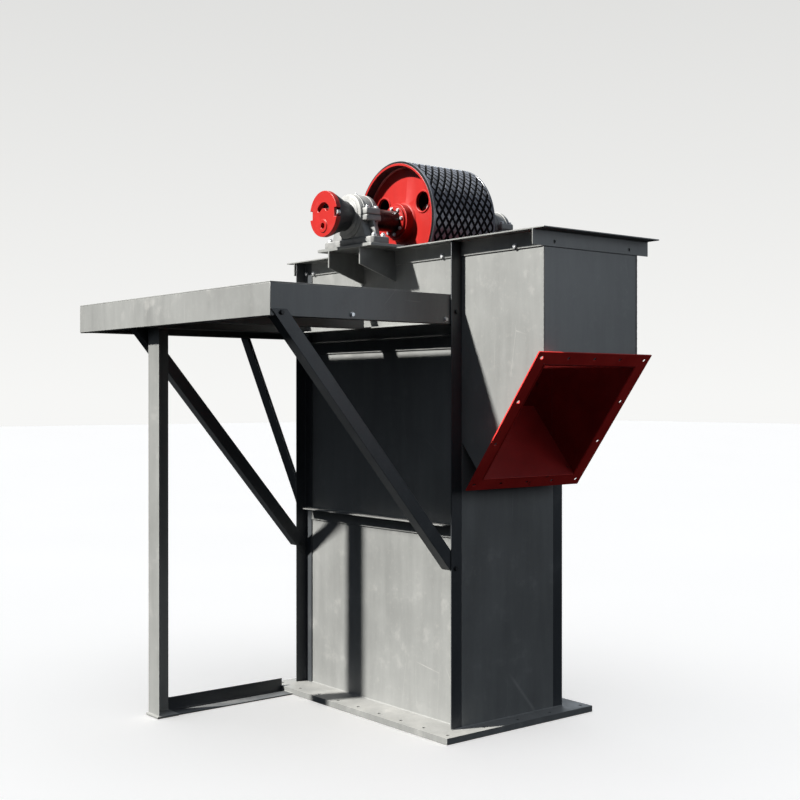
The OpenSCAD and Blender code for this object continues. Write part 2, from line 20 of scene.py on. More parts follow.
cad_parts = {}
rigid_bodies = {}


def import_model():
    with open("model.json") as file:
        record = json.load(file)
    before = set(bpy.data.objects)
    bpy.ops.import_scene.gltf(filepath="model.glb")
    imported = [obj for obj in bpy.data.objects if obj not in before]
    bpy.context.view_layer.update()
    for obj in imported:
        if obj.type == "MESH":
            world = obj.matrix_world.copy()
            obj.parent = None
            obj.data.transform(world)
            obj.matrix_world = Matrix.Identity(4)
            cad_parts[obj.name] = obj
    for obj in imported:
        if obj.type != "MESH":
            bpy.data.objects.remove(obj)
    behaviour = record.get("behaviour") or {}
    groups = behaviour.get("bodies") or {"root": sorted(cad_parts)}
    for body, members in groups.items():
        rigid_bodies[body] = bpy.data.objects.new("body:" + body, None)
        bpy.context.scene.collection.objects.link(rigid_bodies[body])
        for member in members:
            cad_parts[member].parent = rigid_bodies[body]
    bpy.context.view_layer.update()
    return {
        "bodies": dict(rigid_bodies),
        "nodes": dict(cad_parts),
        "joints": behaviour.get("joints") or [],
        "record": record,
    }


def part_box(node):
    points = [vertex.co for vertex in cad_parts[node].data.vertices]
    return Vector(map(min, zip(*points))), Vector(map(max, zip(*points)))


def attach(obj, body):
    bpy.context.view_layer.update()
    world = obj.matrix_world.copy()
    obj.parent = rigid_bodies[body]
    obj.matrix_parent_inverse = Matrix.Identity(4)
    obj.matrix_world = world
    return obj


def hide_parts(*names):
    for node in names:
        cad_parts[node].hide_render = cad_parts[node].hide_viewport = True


LOG = logging.getLogger("elevator")
FRAME_BODY = "frame"
PULLEY_BODY = "head_pulley"


class Fastening(Enum):
    """What shows of a bolt on the outside."""

    HEAD = "head"
    NUT = "nut"


class Slot(Enum):
    """Material slots named in the record, which nothing in this script reads."""

    PAINT = "paint"
    PRIMER = "primer"
    CAST = "cast"
    BARE_STEEL = "bare_steel"
    MACHINED_STEEL = "machined_steel"
    RUBBER = "rubber"
    RED = "red"
    BLACK = "black"


class Signal:
    """A socket in a shader graph whose arithmetic adds Math nodes."""

    def __init__(self, graph: Graph, socket: bpy.types.NodeSocket) -> None:
        """Wraps one output socket of a graph."""
        self.graph = graph
        self.socket = socket

    def _math(self, operation: str, first: Signal | float, second: Signal | float) -> Signal:
        """Adds one Math node.

        Args:
            operation: The Math node's operation.
            first: Value or link of its first socket.
            second: Value or link of its second socket.

        Returns:
            The node's result.
        """
        return self.graph.node("ShaderNodeMath", {"operation": operation}, {0: first, 1: second})

    def __add__(self, other: Signal | float) -> Signal:
        """Gives the sum."""
        return self._math("ADD", self, other)

    __radd__ = __add__

    def __sub__(self, other: Signal | float) -> Signal:
        """Gives the difference."""
        return self._math("SUBTRACT", self, other)

    def __rsub__(self, other: float) -> Signal:
        """Gives the difference from a number."""
        return self._math("SUBTRACT", other, self)

    def __mul__(self, other: Signal | float) -> Signal:
        """Gives the product."""
        return self._math("MULTIPLY", self, other)

    __rmul__ = __mul__

    def __pow__(self, other: float) -> Signal:
        """Gives the power."""
        return self._math("POWER", self, other)


class Graph:
    """A material's node tree, built node by node."""

    def __init__(self, name: str) -> None:
        """Makes an empty material of that name."""
        self.material = bpy.data.materials.new(name)
        self.material.use_nodes = True
        self.tree = self.material.node_tree
        self.tree.nodes.clear()
        self.point = self.node("ShaderNodeTexCoord", {}, {}, "Object")

    def node(
        self,
        kind: str,
        settings: dict[str, object],
        inputs: dict[int | str, object],
        output: int | str = 0,
    ) -> Signal:
        """Adds any node.

        Args:
            kind: The node's type name.
            settings: Its attributes, set before its sockets.
            inputs: Values or links for its sockets, by index or name.
            output: Index or name of the socket that is wanted.

        Returns:
            The wanted output.
        """
        made = self.tree.nodes.new(kind)
        for name, value in settings.items():
            setattr(made, name, value)
        for key, value in inputs.items():
            if isinstance(value, Signal):
                self.tree.links.new(value.socket, made.inputs[key])
            else:
                made.inputs[key].default_value = value
        return Signal(self, made.outputs[output])

    def stretched(self, scale: tuple[float, float, float]) -> Signal:
        """Gives the object coordinates, stretched by a factor on each axis."""
        return self.node("ShaderNodeMapping", {}, {"Vector": self.point, "Scale": scale})

    def noise(
        self,
        scale: float,
        detail: float = 3.0,
        roughness: float = 0.55,
        stretch: tuple[float, float, float] = (1.0, 1.0, 1.0),
    ) -> Signal:
        """Gives fractal noise from 0 to 1 on the object coordinates."""
        point = self.point if stretch == (1.0, 1.0, 1.0) else self.stretched(stretch)
        return self.node(
            "ShaderNodeTexNoise",
            {},
            {"Vector": point, "Scale": scale, "Detail": detail, "Roughness": roughness},
        )

    def cracks(self, scale: float, stretch: tuple[float, float, float]) -> Signal:
        """Gives the distance to the edge of the nearest Voronoi cell."""
        return self.node(
            "ShaderNodeTexVoronoi",
            {"feature": "DISTANCE_TO_EDGE"},
            {"Vector": self.stretched(stretch), "Scale": scale},
        )

    def window(self, signal: Signal, start: float, end: float) -> Signal:
        """Gives 0 below start and 1 past end, with a straight ramp between."""
        return self.node(
            "ShaderNodeMapRange", {}, {"Value": signal, "From Min": start, "From Max": end}
        )

    def tint(self, mask: Signal, base: object, over: object) -> Signal:
        """Mixes one colour over another.

        Args:
            mask: How much of the second colour shows.
            base: First colour, a triple or a signal.
            over: Second colour, a triple or a signal.

        Returns:
            The mixed colour.
        """
        first = base if isinstance(base, Signal) else (*base, 1.0)
        second = over if isinstance(over, Signal) else (*over, 1.0)
        return self.node(
            "ShaderNodeMix", {"data_type": "RGBA"}, {0: mask, 6: first, 7: second}, 2
        )

    def upward(self) -> Signal:
        """Gives 1 where a face looks up and 0 where it stands upright or looks down."""
        normal = self.node("ShaderNodeNewGeometry", {}, {}, "Normal")
        height = self.node("ShaderNodeSeparateXYZ", {}, {0: normal}, "Z")
        return self.window(height, 0.55, 0.95)

    def relief(self, height: Signal, strength: float, distance: float) -> Signal:
        """Turns a height into a normal."""
        return self.node(
            "ShaderNodeBump",
            {},
            {"Height": height, "Strength": strength, "Distance": distance},
            "Normal",
        )

    def close(self, surface: dict[str, object]) -> bpy.types.Material:
        """Adds the Principled shader and the output.

        Args:
            surface: Values or links for the shader's sockets, by name.

        Returns:
            The finished material.
        """
        shader = self.node("ShaderNodeBsdfPrincipled", {}, surface, "BSDF")
        made = self.tree.nodes.new("ShaderNodeOutputMaterial")
        self.tree.links.new(shader.socket, made.inputs["Surface"])
        return self.material


@dataclass(frozen=True)
class Enamel:
    """Sprayed satin enamel over sheet steel, with scuffs, runs and settled dust."""

    name: str
    tone: tuple[float, float, float]
    worn: tuple[float, float, float]
    dust: tuple[float, float, float] = (0.235, 0.228, 0.212)
    gloss: float = 0.34
    cloud: float = 0.16
    shine: float = 0.42

    def make(self) -> bpy.types.Material:
        """Builds the material."""
        g = Graph(self.name)
        broad = g.noise(1.7, 5.0, 0.6)
        runs = g.noise(3.0, 5.0, 0.62, (5.0, 5.0, 0.55))
        speckle = g.window(g.noise(46.0, 6.0, 0.66), 0.57, 0.75)
        scuff = g.window(g.noise(7.0, 8.0, 0.7), 0.56, 0.74)
        lines = 1.0 - g.window(g.cracks(5.0, (1.0, 1.0, 0.22)), 0.0, 0.004)
        scratch = lines * g.window(g.noise(2.4, 3.0), 0.53, 0.62)
        low = tuple(c * (1.0 - self.cloud) for c in self.tone)
        high = tuple(c * (1.0 + self.cloud) for c in self.tone)
        paint = g.tint(g.window(broad * 0.6 + runs * 0.4, 0.36, 0.64), low, high)
        paint = g.tint(speckle * 0.16, paint, self.dust)
        paint = g.tint(scuff * 0.30 + scratch * 0.45, paint, self.worn)
        settled = g.upward() * g.window(g.noise(8.0, 8.0, 0.72), 0.26, 0.70)
        paint = g.tint(settled * 0.32, paint, self.dust)
        rough = self.gloss + broad * 0.12 + scuff * 0.14 + settled * 0.42 + speckle * 0.08
        peel = g.noise(420.0, 2.0) * 0.10 + g.noise(3.4, 2.0, 0.4) * 2.2 - scratch * 0.3
        return g.close(
            {
                "Base Color": paint,
                "Roughness": rough,
                "Normal": g.relief(peel, 0.30, 0.0016),
                "Specular IOR Level": self.shine,
            }
        )


@dataclass(frozen=True)
class Primer:
    """Thin dark red primer, mottled and dry, as the inside of the chute shows."""

    name: str
    tone: tuple[float, float, float]
    thin: tuple[float, float, float]

    def make(self) -> bpy.types.Material:
        """Builds the material."""
        g = Graph(self.name)
        mottle = g.window(g.noise(6.0, 7.0, 0.66), 0.34, 0.68)
        brush = g.noise(9.0, 5.0, 0.6, (1.0, 1.0, 0.2))
        dry = g.window(g.noise(60.0, 5.0, 0.7), 0.58, 0.74)
        colour = g.tint(mottle * 0.75 + brush * 0.2, self.tone, self.thin)
        colour = g.tint(dry * 0.22, colour, (0.20, 0.10, 0.085))
        spots = g.window(g.noise(19.0, 3.0, 0.5), 0.69, 0.73)
        colour = g.tint(spots * 0.6, colour, (0.02, 0.006, 0.006))
        grain = g.noise(260.0, 3.0, 0.6) * 0.3 + brush * 0.8
        return g.close(
            {
                "Base Color": colour,
                "Roughness": 0.46 + mottle * 0.16 + dry * 0.14,
                "Normal": g.relief(grain, 0.35, 0.0012),
                "Specular IOR Level": 0.22,
            }
        )


@dataclass(frozen=True)
class Casting:
    """Painted grey iron with the pebbled skin of a sand casting."""

    name: str
    tone: tuple[float, float, float]
    dust: tuple[float, float, float] = (0.24, 0.23, 0.21)

    def make(self) -> bpy.types.Material:
        """Builds the material."""
        g = Graph(self.name)
        sand = g.noise(190.0, 4.0, 0.62)
        lumps = g.noise(26.0, 3.0, 0.5)
        grime = g.window(g.noise(17.0, 6.0, 0.68), 0.46, 0.72)
        light = tuple(c * 1.35 for c in self.tone)
        colour = g.tint(g.window(lumps, 0.35, 0.66), self.tone, light)
        colour = g.tint(grime * 0.22 + g.upward() * 0.22, colour, self.dust)
        return g.close(
            {
                "Base Color": colour,
                "Roughness": 0.40 + sand * 0.16 + grime * 0.16,
                "Normal": g.relief(sand * 0.55 + lumps * 1.2, 0.42, 0.0014),
                "Specular IOR Level": 0.45,
            }
        )


@dataclass(frozen=True)
class TurnedSteel:
    """Bare steel with fine lathe rings round the shaft's direction."""

    name: str
    tone: tuple[float, float, float]
    rings: float = 900.0

    def make(self) -> bpy.types.Material:
        """Builds the material."""
        g = Graph(self.name)
        lathe = g.noise(1.0, 3.0, 0.6, (0.6, self.rings, 0.6))
        stain = g.window(g.noise(15.0, 6.0, 0.66), 0.50, 0.74)
        dull = tuple(c * 0.62 for c in self.tone)
        colour = g.tint(g.window(lathe, 0.3, 0.7), dull, self.tone)
        colour = g.tint(stain * 0.5, colour, (0.16, 0.10, 0.065))
        return g.close(
            {
                "Base Color": colour,
                "Metallic": 0.92 - stain * 0.5,
                "Roughness": 0.27 + lathe * 0.16 + stain * 0.25,
                "Normal": g.relief(lathe, 0.30, 0.0004),
            }
        )


@dataclass(frozen=True)
class Zinc:
    """Zinc-plated bolts with small crystals and dull patches."""

    name: str
    tone: tuple[float, float, float]

    def make(self) -> bpy.types.Material:
        """Builds the material."""
        g = Graph(self.name)
        spangle = g.noise(150.0, 3.0, 0.6)
        dull = g.window(g.noise(36.0, 5.0, 0.66), 0.45, 0.7)
        colour = g.tint(g.window(spangle, 0.35, 0.65), self.tone, tuple(c * 1.25 for c in self.tone))
        colour = g.tint(dull * 0.45, colour, (0.20, 0.19, 0.18))
        return g.close(
            {
                "Base Color": colour,
                "Metallic": 0.80 - dull * 0.35,
                "Roughness": 0.34 + dull * 0.22,
                "Normal": g.relief(spangle, 0.25, 0.0005),
            }
        )


@dataclass(frozen=True)
class Rubber:
    """Moulded black rubber whose tops carry a bluish tint: partly real wear, partly a painted sheen of
    light on the pad tops.
    """

    name: str
    tone: tuple[float, float, float]
    bloom_and_sheen: tuple[float, float, float]
    axis_z: float
    top_radius: float

    def make(self) -> bpy.types.Material:
        """Builds the material."""
        g = Graph(self.name)
        split = g.node("ShaderNodeSeparateXYZ", {}, {0: g.point}, "X")
        height = g.node("ShaderNodeSeparateXYZ", {}, {0: g.point}, "Z") - self.axis_z
        radius = (split * split + height * height) ** 0.5
        top = g.window(radius, self.top_radius - 0.0022, self.top_radius - 0.0004)
        bloom_and_sheen = g.window(g.noise(22.0, 6.0, 0.62), 0.34, 0.66)
        grit = g.noise(330.0, 3.0, 0.6)
        # The pad tops take the bluish tint: partly wear, partly painted sheen standing in for light on
        # the tops.
        colour = g.tint(top * (0.35 + bloom_and_sheen * 0.55), self.tone, self.bloom_and_sheen)
        return g.close(
            {
                "Base Color": colour,
                "Roughness": 0.42 + bloom_and_sheen * 0.14 + (1.0 - top) * 0.36,
                "Coat Weight": top * (0.35 + bloom_and_sheen * 0.45),
                "Coat Roughness": 0.16,
                "Normal": g.relief(grit, 0.26, 0.0010),
                "Specular IOR Level": 0.16,
            }
        )


@dataclass(frozen=True)
class FloorCoat:
    """Plain pale studio floor with the faintest mottling."""

    name: str
    tone: tuple[float, float, float]

    def make(self) -> bpy.types.Material:
        """Builds the material."""
        g = Graph(self.name)
        cloud = g.window(g.noise(0.35, 3.0), 0.3, 0.7)
        colour = g.tint(cloud, self.tone, tuple(c * 1.02 for c in self.tone))
        return g.close({
            "Base Color": colour,
            "Roughness": 0.85,
            "Specular IOR Level": 0.1,
            "Emission Color": colour,
            "Emission Strength": 0.52,
        })


class Paintshop:
    """Every finish of the machine, made once."""

    def __init__(self, axis_z: float) -> None:
        """Mixes all finishes.

        Args:
            axis_z: Height of the pulley's axis, from which the rubber's height is read.
        """
        self.grey = Enamel("grey_enamel", (0.118, 0.121, 0.118), (0.25, 0.245, 0.235)).make()
        # Darker grey for the corner angles, braces and ground beam: its darkness is painted shade.
        self.shade_grey = Enamel(
            "enamel_with_painted_shade", (0.028, 0.031, 0.034), (0.070, 0.071, 0.070), dust=(0.13, 0.127, 0.122)
        ).make()
        self.red = Enamel(
            "red_enamel",
            (0.200, 0.0045, 0.0028),
            (0.235, 0.0150, 0.0090),
            dust=(0.21, 0.024, 0.014),
            gloss=0.36,
            shine=0.28,
            cloud=0.10,
        ).make()
        self.primer = Primer("red_primer", (0.300, 0.0095, 0.0085), (0.440, 0.0220, 0.0165)).make()
        # A darker copy of the red primer for the inside faces and the chute floor: painted shade inside
        # the casing and the chute.
        self.shaded_inside = Primer("primer_with_painted_shade", (0.125, 0.0030, 0.0028), (0.200, 0.0075, 0.0060)).make()
        # The bearing castings are a shaded and a lit copy of one grey: the darker base and seals carry
        # painted shade, the lighter cap carries painted light.
        self.cast = Casting("casting_with_painted_shade", (0.104, 0.106, 0.105)).make()
        self.cast_painted_light = Casting("casting_with_painted_light", (0.140, 0.142, 0.139)).make()
        # Near-black finish: on the shell's inside it is painted shade, on the coupling hub partly
        # painted shade.
        self.black = Casting("black_casting", (0.006, 0.007, 0.008), (0.03, 0.03, 0.03)).make()
        self.bare = TurnedSteel("bare_steel", (0.42, 0.43, 0.44), 160.0).make()
        # Nearly black steel for the shaft: painted shade along the shaft between the bearings and the
        # discs.
        self.turned = TurnedSteel("shaft_steel_with_painted_shade", (0.034, 0.036, 0.038)).make()
        self.zinc = Zinc("zinc_plate", (0.46, 0.47, 0.48)).make()
        # Black rubber with a bluish tint on the pad tops that is partly a painted sheen.
        self.rubber = Rubber(
            "moulded_rubber", (0.0035, 0.0038, 0.0045), (0.134, 0.145, 0.170), axis_z, 0.312
        ).make()
        self.floor = FloorCoat("studio_floor", (0.80, 0.778, 0.748)).make()


class Workpiece:
    """A bmesh under the tools; every shape is added in its final place."""

    def __init__(self) -> None:
        """Starts with nothing on the bench."""
        self.bm = bmesh.new()

    def block(
        self, x: tuple[float, float], y: tuple[float, float], z: tuple[float, float]
    ) -> Workpiece:
        """Adds a box between limits on each axis."""
        middle = Vector((sum(x) / 2, sum(y) / 2, sum(z) / 2))
        size = Vector((x[1] - x[0], y[1] - y[0], z[1] - z[0], 1.0))
        place = Matrix.Translation(middle) @ Matrix.Diagonal(size)
        bmesh.ops.create_cube(self.bm, size=1.0, matrix=place)
        return self

    def round_bar(
        self,
        radius: float,
        length: float,
        place: Matrix,
        segments: int = 32,
        end_radius: float | None = None,
    ) -> Workpiece:
        """Adds a cylinder or cone that starts at the place and runs along its +Z.

        Args:
            radius: Radius at the start.
            length: Length along +Z.
            place: Where the middle of its start is.
            segments: Number of sides.
            end_radius: Radius at the end, or None for a cylinder.

        Returns:
            This workpiece.
        """
        bmesh.ops.create_cone(
            self.bm,
            cap_ends=True,
            segments=segments,
            radius1=radius,
            radius2=radius if end_radius is None else end_radius,
            depth=length,
            matrix=place @ Matrix.Translation((0.0, 0.0, length / 2)),
        )
        return self

    def turned(
        self,
        profile: list[tuple[float, float]],
        place: Matrix,
        segments: int = 64,
        closed: bool = True,
    ) -> Workpiece:
        """Spins a profile round the place's Z axis.

        Args:
            profile: Points as (radius, height).
            place: Where the axis starts and points.
            segments: Steps round the axis.
            closed: True for a ring section, False where the profile ends on the axis.

        Returns:
            This workpiece.
        """
        points = [self.bm.verts.new(place @ Vector((r, 0.0, h))) for r, h in profile]
        pairs = list(zip(points, points[1:]))
        if closed:
            pairs.append((points[-1], points[0]))
        edges = [self.bm.edges.new(pair) for pair in pairs]
        bmesh.ops.spin(
            self.bm,
            geom=points + edges,
            cent=place.translation,
            axis=(place.to_3x3() @ Vector((0.0, 0.0, 1.0))).normalized(),
            angle=math.tau,
            steps=segments,
            use_merge=True,
        )
        return self

    def slab(self, outline: list[tuple[float, float]], depth: float, place: Matrix) -> Workpiece:
        """Extrudes an outline in the place's XY plane along its +Z."""
        points = [self.bm.verts.new(place @ Vector((x, y, 0.0))) for x, y in outline]
        face = self.bm.faces.new(points)
        made = bmesh.ops.extrude_face_region(self.bm, geom=[face], use_keep_orig=True)
        moved = [e for e in made["geom"] if isinstance(e, bmesh.types.BMVert)]
        shift = place.to_3x3() @ Vector((0.0, 0.0, depth))
        bmesh.ops.translate(self.bm, verts=moved, vec=shift)
        return self

    def bevel(self, width: float, segments: int = 2, angle: float = 35.0) -> Workpiece:
        """Rounds every edge that is sharper than the angle."""
        bmesh.ops.remove_doubles(self.bm, verts=self.bm.verts, dist=1e-6)
        bmesh.ops.recalc_face_normals(self.bm, faces=self.bm.faces)
        limit = math.radians(angle)
        sharp = [
            e for e in self.bm.edges if len(e.link_faces) == 2 and e.calc_face_angle() > limit
        ]
        bmesh.ops.bevel(
            self.bm,
            geom=sharp,
            offset=width,
            offset_type="OFFSET",
            segments=segments,
            profile=0.5,
            affect="EDGES",
            material=-1,
            clamp_overlap=True,
        )
        return self

    def add(self, other: Workpiece) -> Workpiece:
        """Welds another workpiece on and clears it away."""
        spare = bpy.data.meshes.new("spare")
        other.bm.to_mesh(spare)
        other.bm.free()
        self.bm.from_mesh(spare)
        bpy.data.meshes.remove(spare)
        return self

    def copied(self, place: Matrix) -> Workpiece:
        """Gives a copy of this workpiece in another place."""
        twin = Workpiece()
        twin.bm.free()
        twin.bm = self.bm.copy()
        bmesh.ops.transform(twin.bm, matrix=place, verts=twin.bm.verts)
        if place.determinant() < 0:
            bmesh.ops.reverse_faces(twin.bm, faces=twin.bm.faces)
        return twin

    def object(
        self, name: str, finish: bpy.types.Material, smooth: float = 34.0
    ) -> bpy.types.Object:
        """Turns the workpiece into an object with its place in its mesh.

        Args:
            name: Name of the object.
            finish: Its material.
            smooth: Edges sharper than this, in degrees, stay sharp.

        Returns:
            The object, linked into the scene.
        """
        bmesh.ops.remove_doubles(self.bm, verts=self.bm.verts, dist=2e-6)
        bmesh.ops.recalc_face_normals(self.bm, faces=self.bm.faces)
        mesh = bpy.data.meshes.new(name)
        self.bm.to_mesh(mesh)
        self.bm.free()
        mesh.shade_smooth()
        mesh.set_sharp_from_angle(angle=math.radians(smooth))
        made = bpy.data.objects.new(name, mesh)
        bpy.context.scene.collection.objects.link(made)
        made.data.materials.append(finish)
        return made


@dataclass(frozen=True)
class BoltSize:
    """Sizes of one hexagon bolt with its washer."""

    across: float
    head: float
    thread: float
    washer: float
    washer_t: float = 0.0025

    def workpiece(self, style: Fastening) -> Workpiece:
        """Builds the bolt on the floor, pointing up.

        Args:
            style: Whether the head or the nut's end shows.

        Returns:
            The bolt as a workpiece whose underside is at height 0.
        """
        here = Matrix.Identity(4)
        top = Workpiece().round_bar(
            self.across / math.sqrt(3), self.head, Matrix.Translation((0, 0, self.washer_t)), 6
        )
        top.bevel(self.head * 0.13, 1, 50.0)
        top.add(Workpiece().round_bar(self.washer / 2, self.washer_t, here, 20))
        if style is Fastening.NUT:
            end = Matrix.Translation((0, 0, self.washer_t + self.head))
            tip = Workpiece().round_bar(self.thread / 2, self.thread * 0.45, end, 12)
            top.add(tip.bevel(self.thread * 0.07, 1, 50.0))
        return top


M10 = BoltSize(0.016, 0.0066, 0.010, 0.020)
M12 = BoltSize(0.018, 0.0078, 0.012, 0.024)
M16 = BoltSize(0.024, 0.0104, 0.016, 0.030, 0.003)


def facing(at: Vector, direction: Vector) -> Matrix:
    """Gives the place at a point whose +Z looks along a direction."""
    turn = direction.to_track_quat("Z", "Y").to_matrix().to_4x4()
    return Matrix.Translation(at) @ turn


def bolts(
    places: list[tuple[Vector, Vector]], size: BoltSize, style: Fastening
) -> Workpiece:
    """Sets one bolt at each point and direction.

    Args:
        places: Points on the surface, each with the way the bolt looks.
        size: Size of the bolts.
        style: What shows of them.

    Returns:
        All the bolts as one workpiece.
    """
    pattern = size.workpiece(style)
    row = Workpiece()
    for index, (at, direction) in enumerate(places):
        twist = Matrix.Rotation(math.radians(17.0 * index), 4, "Z")
        row.add(pattern.copied(facing(at, direction) @ twist))
    pattern.bm.free()
    return row


def weld_bead(start: Vector, end: Vector, radius: float, pitch: float = 0.007) -> Workpiece:
    """Lays a rippled weld bead between two points.

    Args:
        start: Where it starts.
        end: Where it ends.
        radius: Half of its width.
        pitch: Length of one ripple.

    Returns:
        The bead as a workpiece.
    """
    run = end - start
    ripples = max(3, int(run.length / pitch))
    along = run.normalized()
    bead = Workpiece()
    ring = bmesh.ops.create_circle(
        bead.bm, segments=6, radius=radius, cap_ends=False, matrix=facing(start, along)
    )
    edges = list({e for v in ring["verts"] for e in v.link_edges})
    bmesh.ops.spin(
        bead.bm,
        geom=ring["verts"] + edges,
        cent=start,
        axis=along,
        dvec=run / (2 * ripples),
        angle=0.0,
        steps=2 * ripples,
    )
    step = run.length / (2 * ripples)
    for vert in bead.bm.verts:
        reach = (vert.co - start).dot(along)
        count = round(reach / step)
        core = start + along * reach
        ripple = 1.0 if count % 2 else 0.80
        drift = 0.07 * math.sin(count * 0.9) + 0.05 * math.sin(count * 0.37)
        vert.co = core + (vert.co - core) * (ripple + drift)
    bmesh.ops.holes_fill(bead.bm, edges=bead.bm.edges, sides=6)
    return bead


def softened(
    frame: dict,
    node: str,
    finish: bpy.types.Material,
    body: str = FRAME_BODY,
    width: float = 0.0013,
) -> bpy.types.Object:
    """Copies a CAD node, rounds the copy's edges and lets it stand for the node.

    Args:
        node: Name of the CAD node.
        finish: Material of the copy.
        body: CAD body that carries it.
        width: Radius of its edges.

    Returns:
        The copy.
    """
    source = frame["nodes"][node]
    source.data.materials.clear()
    source.data.materials.append(finish)
    work = Workpiece()
    work.bm.from_mesh(source.data)
    bmesh.ops.remove_doubles(work.bm, verts=work.bm.verts, dist=1e-5)
    bmesh.ops.dissolve_limit(
        work.bm,
        angle_limit=math.radians(1.0),
        verts=work.bm.verts,
        edges=work.bm.edges,
    )
    made = work.object(f"{node}_dressed", finish)
    edge = made.modifiers.new("edge", "BEVEL")
    edge.width = width
    edge.segments = 2
    edge.limit_method = "ANGLE"
    edge.angle_limit = math.radians(38.0)
    edge.harden_normals = False
    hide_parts(node)
    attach(made, body)
    LOG.info("%s stands for the CAD node %s", made.name, node)
    return made


def fitted(
    work: Workpiece,
    name: str,
    finish: bpy.types.Material,
    body: str = FRAME_BODY,
    stands_for: tuple[str, ...] = (),
    smooth: float = 34.0,
) -> bpy.types.Object:
    """Finishes a workpiece and mounts it on its CAD body.

    Args:
        work: The workpiece.
        name: Name of the new object.
        finish: Its material.
        body: CAD body that carries it.
        stands_for: CAD nodes that it replaces.
        smooth: Edges sharper than this, in degrees, stay sharp.

    Returns:
        The mounted object.
    """
    made = work.object(name, finish, smooth)
    if stands_for:
        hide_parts(*stands_for)
    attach(made, body)
    LOG.info("%s has %d faces", made.name, len(made.data.polygons))
    return made


def line_inside(
    made: bpy.types.Object, shaded_inside: bpy.types.Material, inside: Vector, cut: bool = False
) -> None:
    """Gives the faces that look at a point inside a second finish.

    Args:
        made: Object whose first material is its outside finish.
        shaded_inside: Finish of the inside, a darker copy of the primer that paints the shade inside the
            casing.
        inside: A direction that looks into the casing from the sheet.
        cut: True where the sheet's slanted lower edge gets the second finish too.
    """
    made.data.materials.append(shaded_inside)
    for face in made.data.polygons:
        if face.normal.dot(inside) > 0.9 or (cut and face.normal.z < -0.3):
            face.material_index = 1


@dataclass
class CasingShell:
    """Sheets, corner angles, rails and rim of the hollow casing."""

    frame: dict
    shop: Paintshop
    half_w: float = 0.310
    front_x: float = 0.630
    end_x: float = 0.665
    head_x: float = 1.170
    leg: float = 0.065
    rim_low: float = 2.265
    top: float = 2.340
    foot: float = 0.030
    outlet: float = 1.745
    rails: tuple[float, ...] = (0.990, 1.895)
    rail_t: float = 0.006
    rim_t: float = 0.006
    bolt_rise: float = 0.0125
    bolt_x: tuple[float, ...] = (0.998, 0.50, -0.575, -0.645)

    def build(self) -> None:
        """Dresses every plate and section of the casing."""
        grey = self.shop.grey
        for node, inward in (
            ("front_panel", (0, 1, 0)),
            ("back_panel", (0, -1, 0)),
            ("end_wall", (1, 0, 0)),
            ("discharge_wall", (-1, 0, 0)),
            ("head_side_front", (0, 1, 0)),
            ("head_side_back", (0, -1, 0)),
            ("head_plate", (-1, 0, 0)),
        ):
            sheet = softened(self.frame, node, grey, width=0.0010)
            # Inside faces take the darker primer copy, as painted shade.
            line_inside(sheet, self.shop.shaded_inside, Vector(inward), cut=node.startswith("head"))
        for node in (
            "front_rail", "back_rail", "front_upper_rail", "back_upper_rail",
            "rim_front", "rim_back", "rim_end", "rim_discharge",
        ):
            softened(self.frame, node, grey, width=0.0016)
        # The corner angles take the darker grey, which paints in shade.
        for node in (
            "corner_front_discharge", "corner_front_end", "corner_back_discharge", "corner_back_end",
        ):
            softened(self.frame, node, self.shop.shade_grey, width=0.0016)
        for node in ("base_plate", "casing_foot"):
            softened(self.frame, node, grey, width=0.0014)

    def end(self, sx: int) -> float:
        """Gives where the casing ends on one side of the pulley."""
        return self.front_x if sx > 0 else -self.end_x

    def weld(self) -> None:
        """Lays the weld beads of the casing, rails and foot."""
        ends = (self.end(-1), self.end(1))
        runs: list[tuple[tuple[float, ...], tuple[float, ...], float]] = []
        for side in (-self.half_w, self.half_w):
            for end in (ends[0] + self.rim_t, ends[1] - self.rim_t):
                runs.append(((end, side, self.foot + 0.01), (end, side, self.top - 0.02), 0.0042))
            for height in self.rails:
                for level in (height, height - self.rail_t):
                    runs.append((
                        (ends[0] + self.leg, side, level), (ends[1] - self.leg, side, level), 0.0034,
                    ))
            runs.append(((ends[0], side, self.foot), (ends[1], side, self.foot), 0.0050))
            runs.append(((ends[0], side, self.rim_low), (self.head_x, side, self.rim_low), 0.0034))
            runs.append((
                (self.head_x, side, self.outlet), (self.head_x, side, self.rim_low), 0.0036,
            ))
            tip = side + math.copysign(self.leg, side)
            for end in ends:
                runs.append(((end, side, self.foot), (end, tip, self.foot), 0.0042))
        for end in ends:
            runs.append(((end, -self.half_w, self.foot), (end, self.half_w, self.foot), 0.0050))
        for end in (ends[0], self.head_x):
            runs.append((
                (end, -self.half_w, self.rim_low), (end, self.half_w, self.rim_low), 0.0034,
            ))
        seams = Workpiece()
        for start, stop, radius in runs:
            seams.add(weld_bead(Vector(start), Vector(stop), radius))
        fitted(seams, "casing_weld_beads", self.shop.grey, smooth=60.0)

    def bolt(self) -> None:
        """Sets the bolts through the upright legs of the side rims."""
        level = self.rim_low + self.bolt_rise
        out = self.half_w + self.rim_t
        rim = [
            (Vector((x, sy * out, level)), Vector((0, sy, 0)))
            for sy in (-1, 1)
            for x in self.bolt_x
        ]
        fitted(bolts(rim, M12, Fastening.HEAD), "rim_bolts", self.shop.zinc)


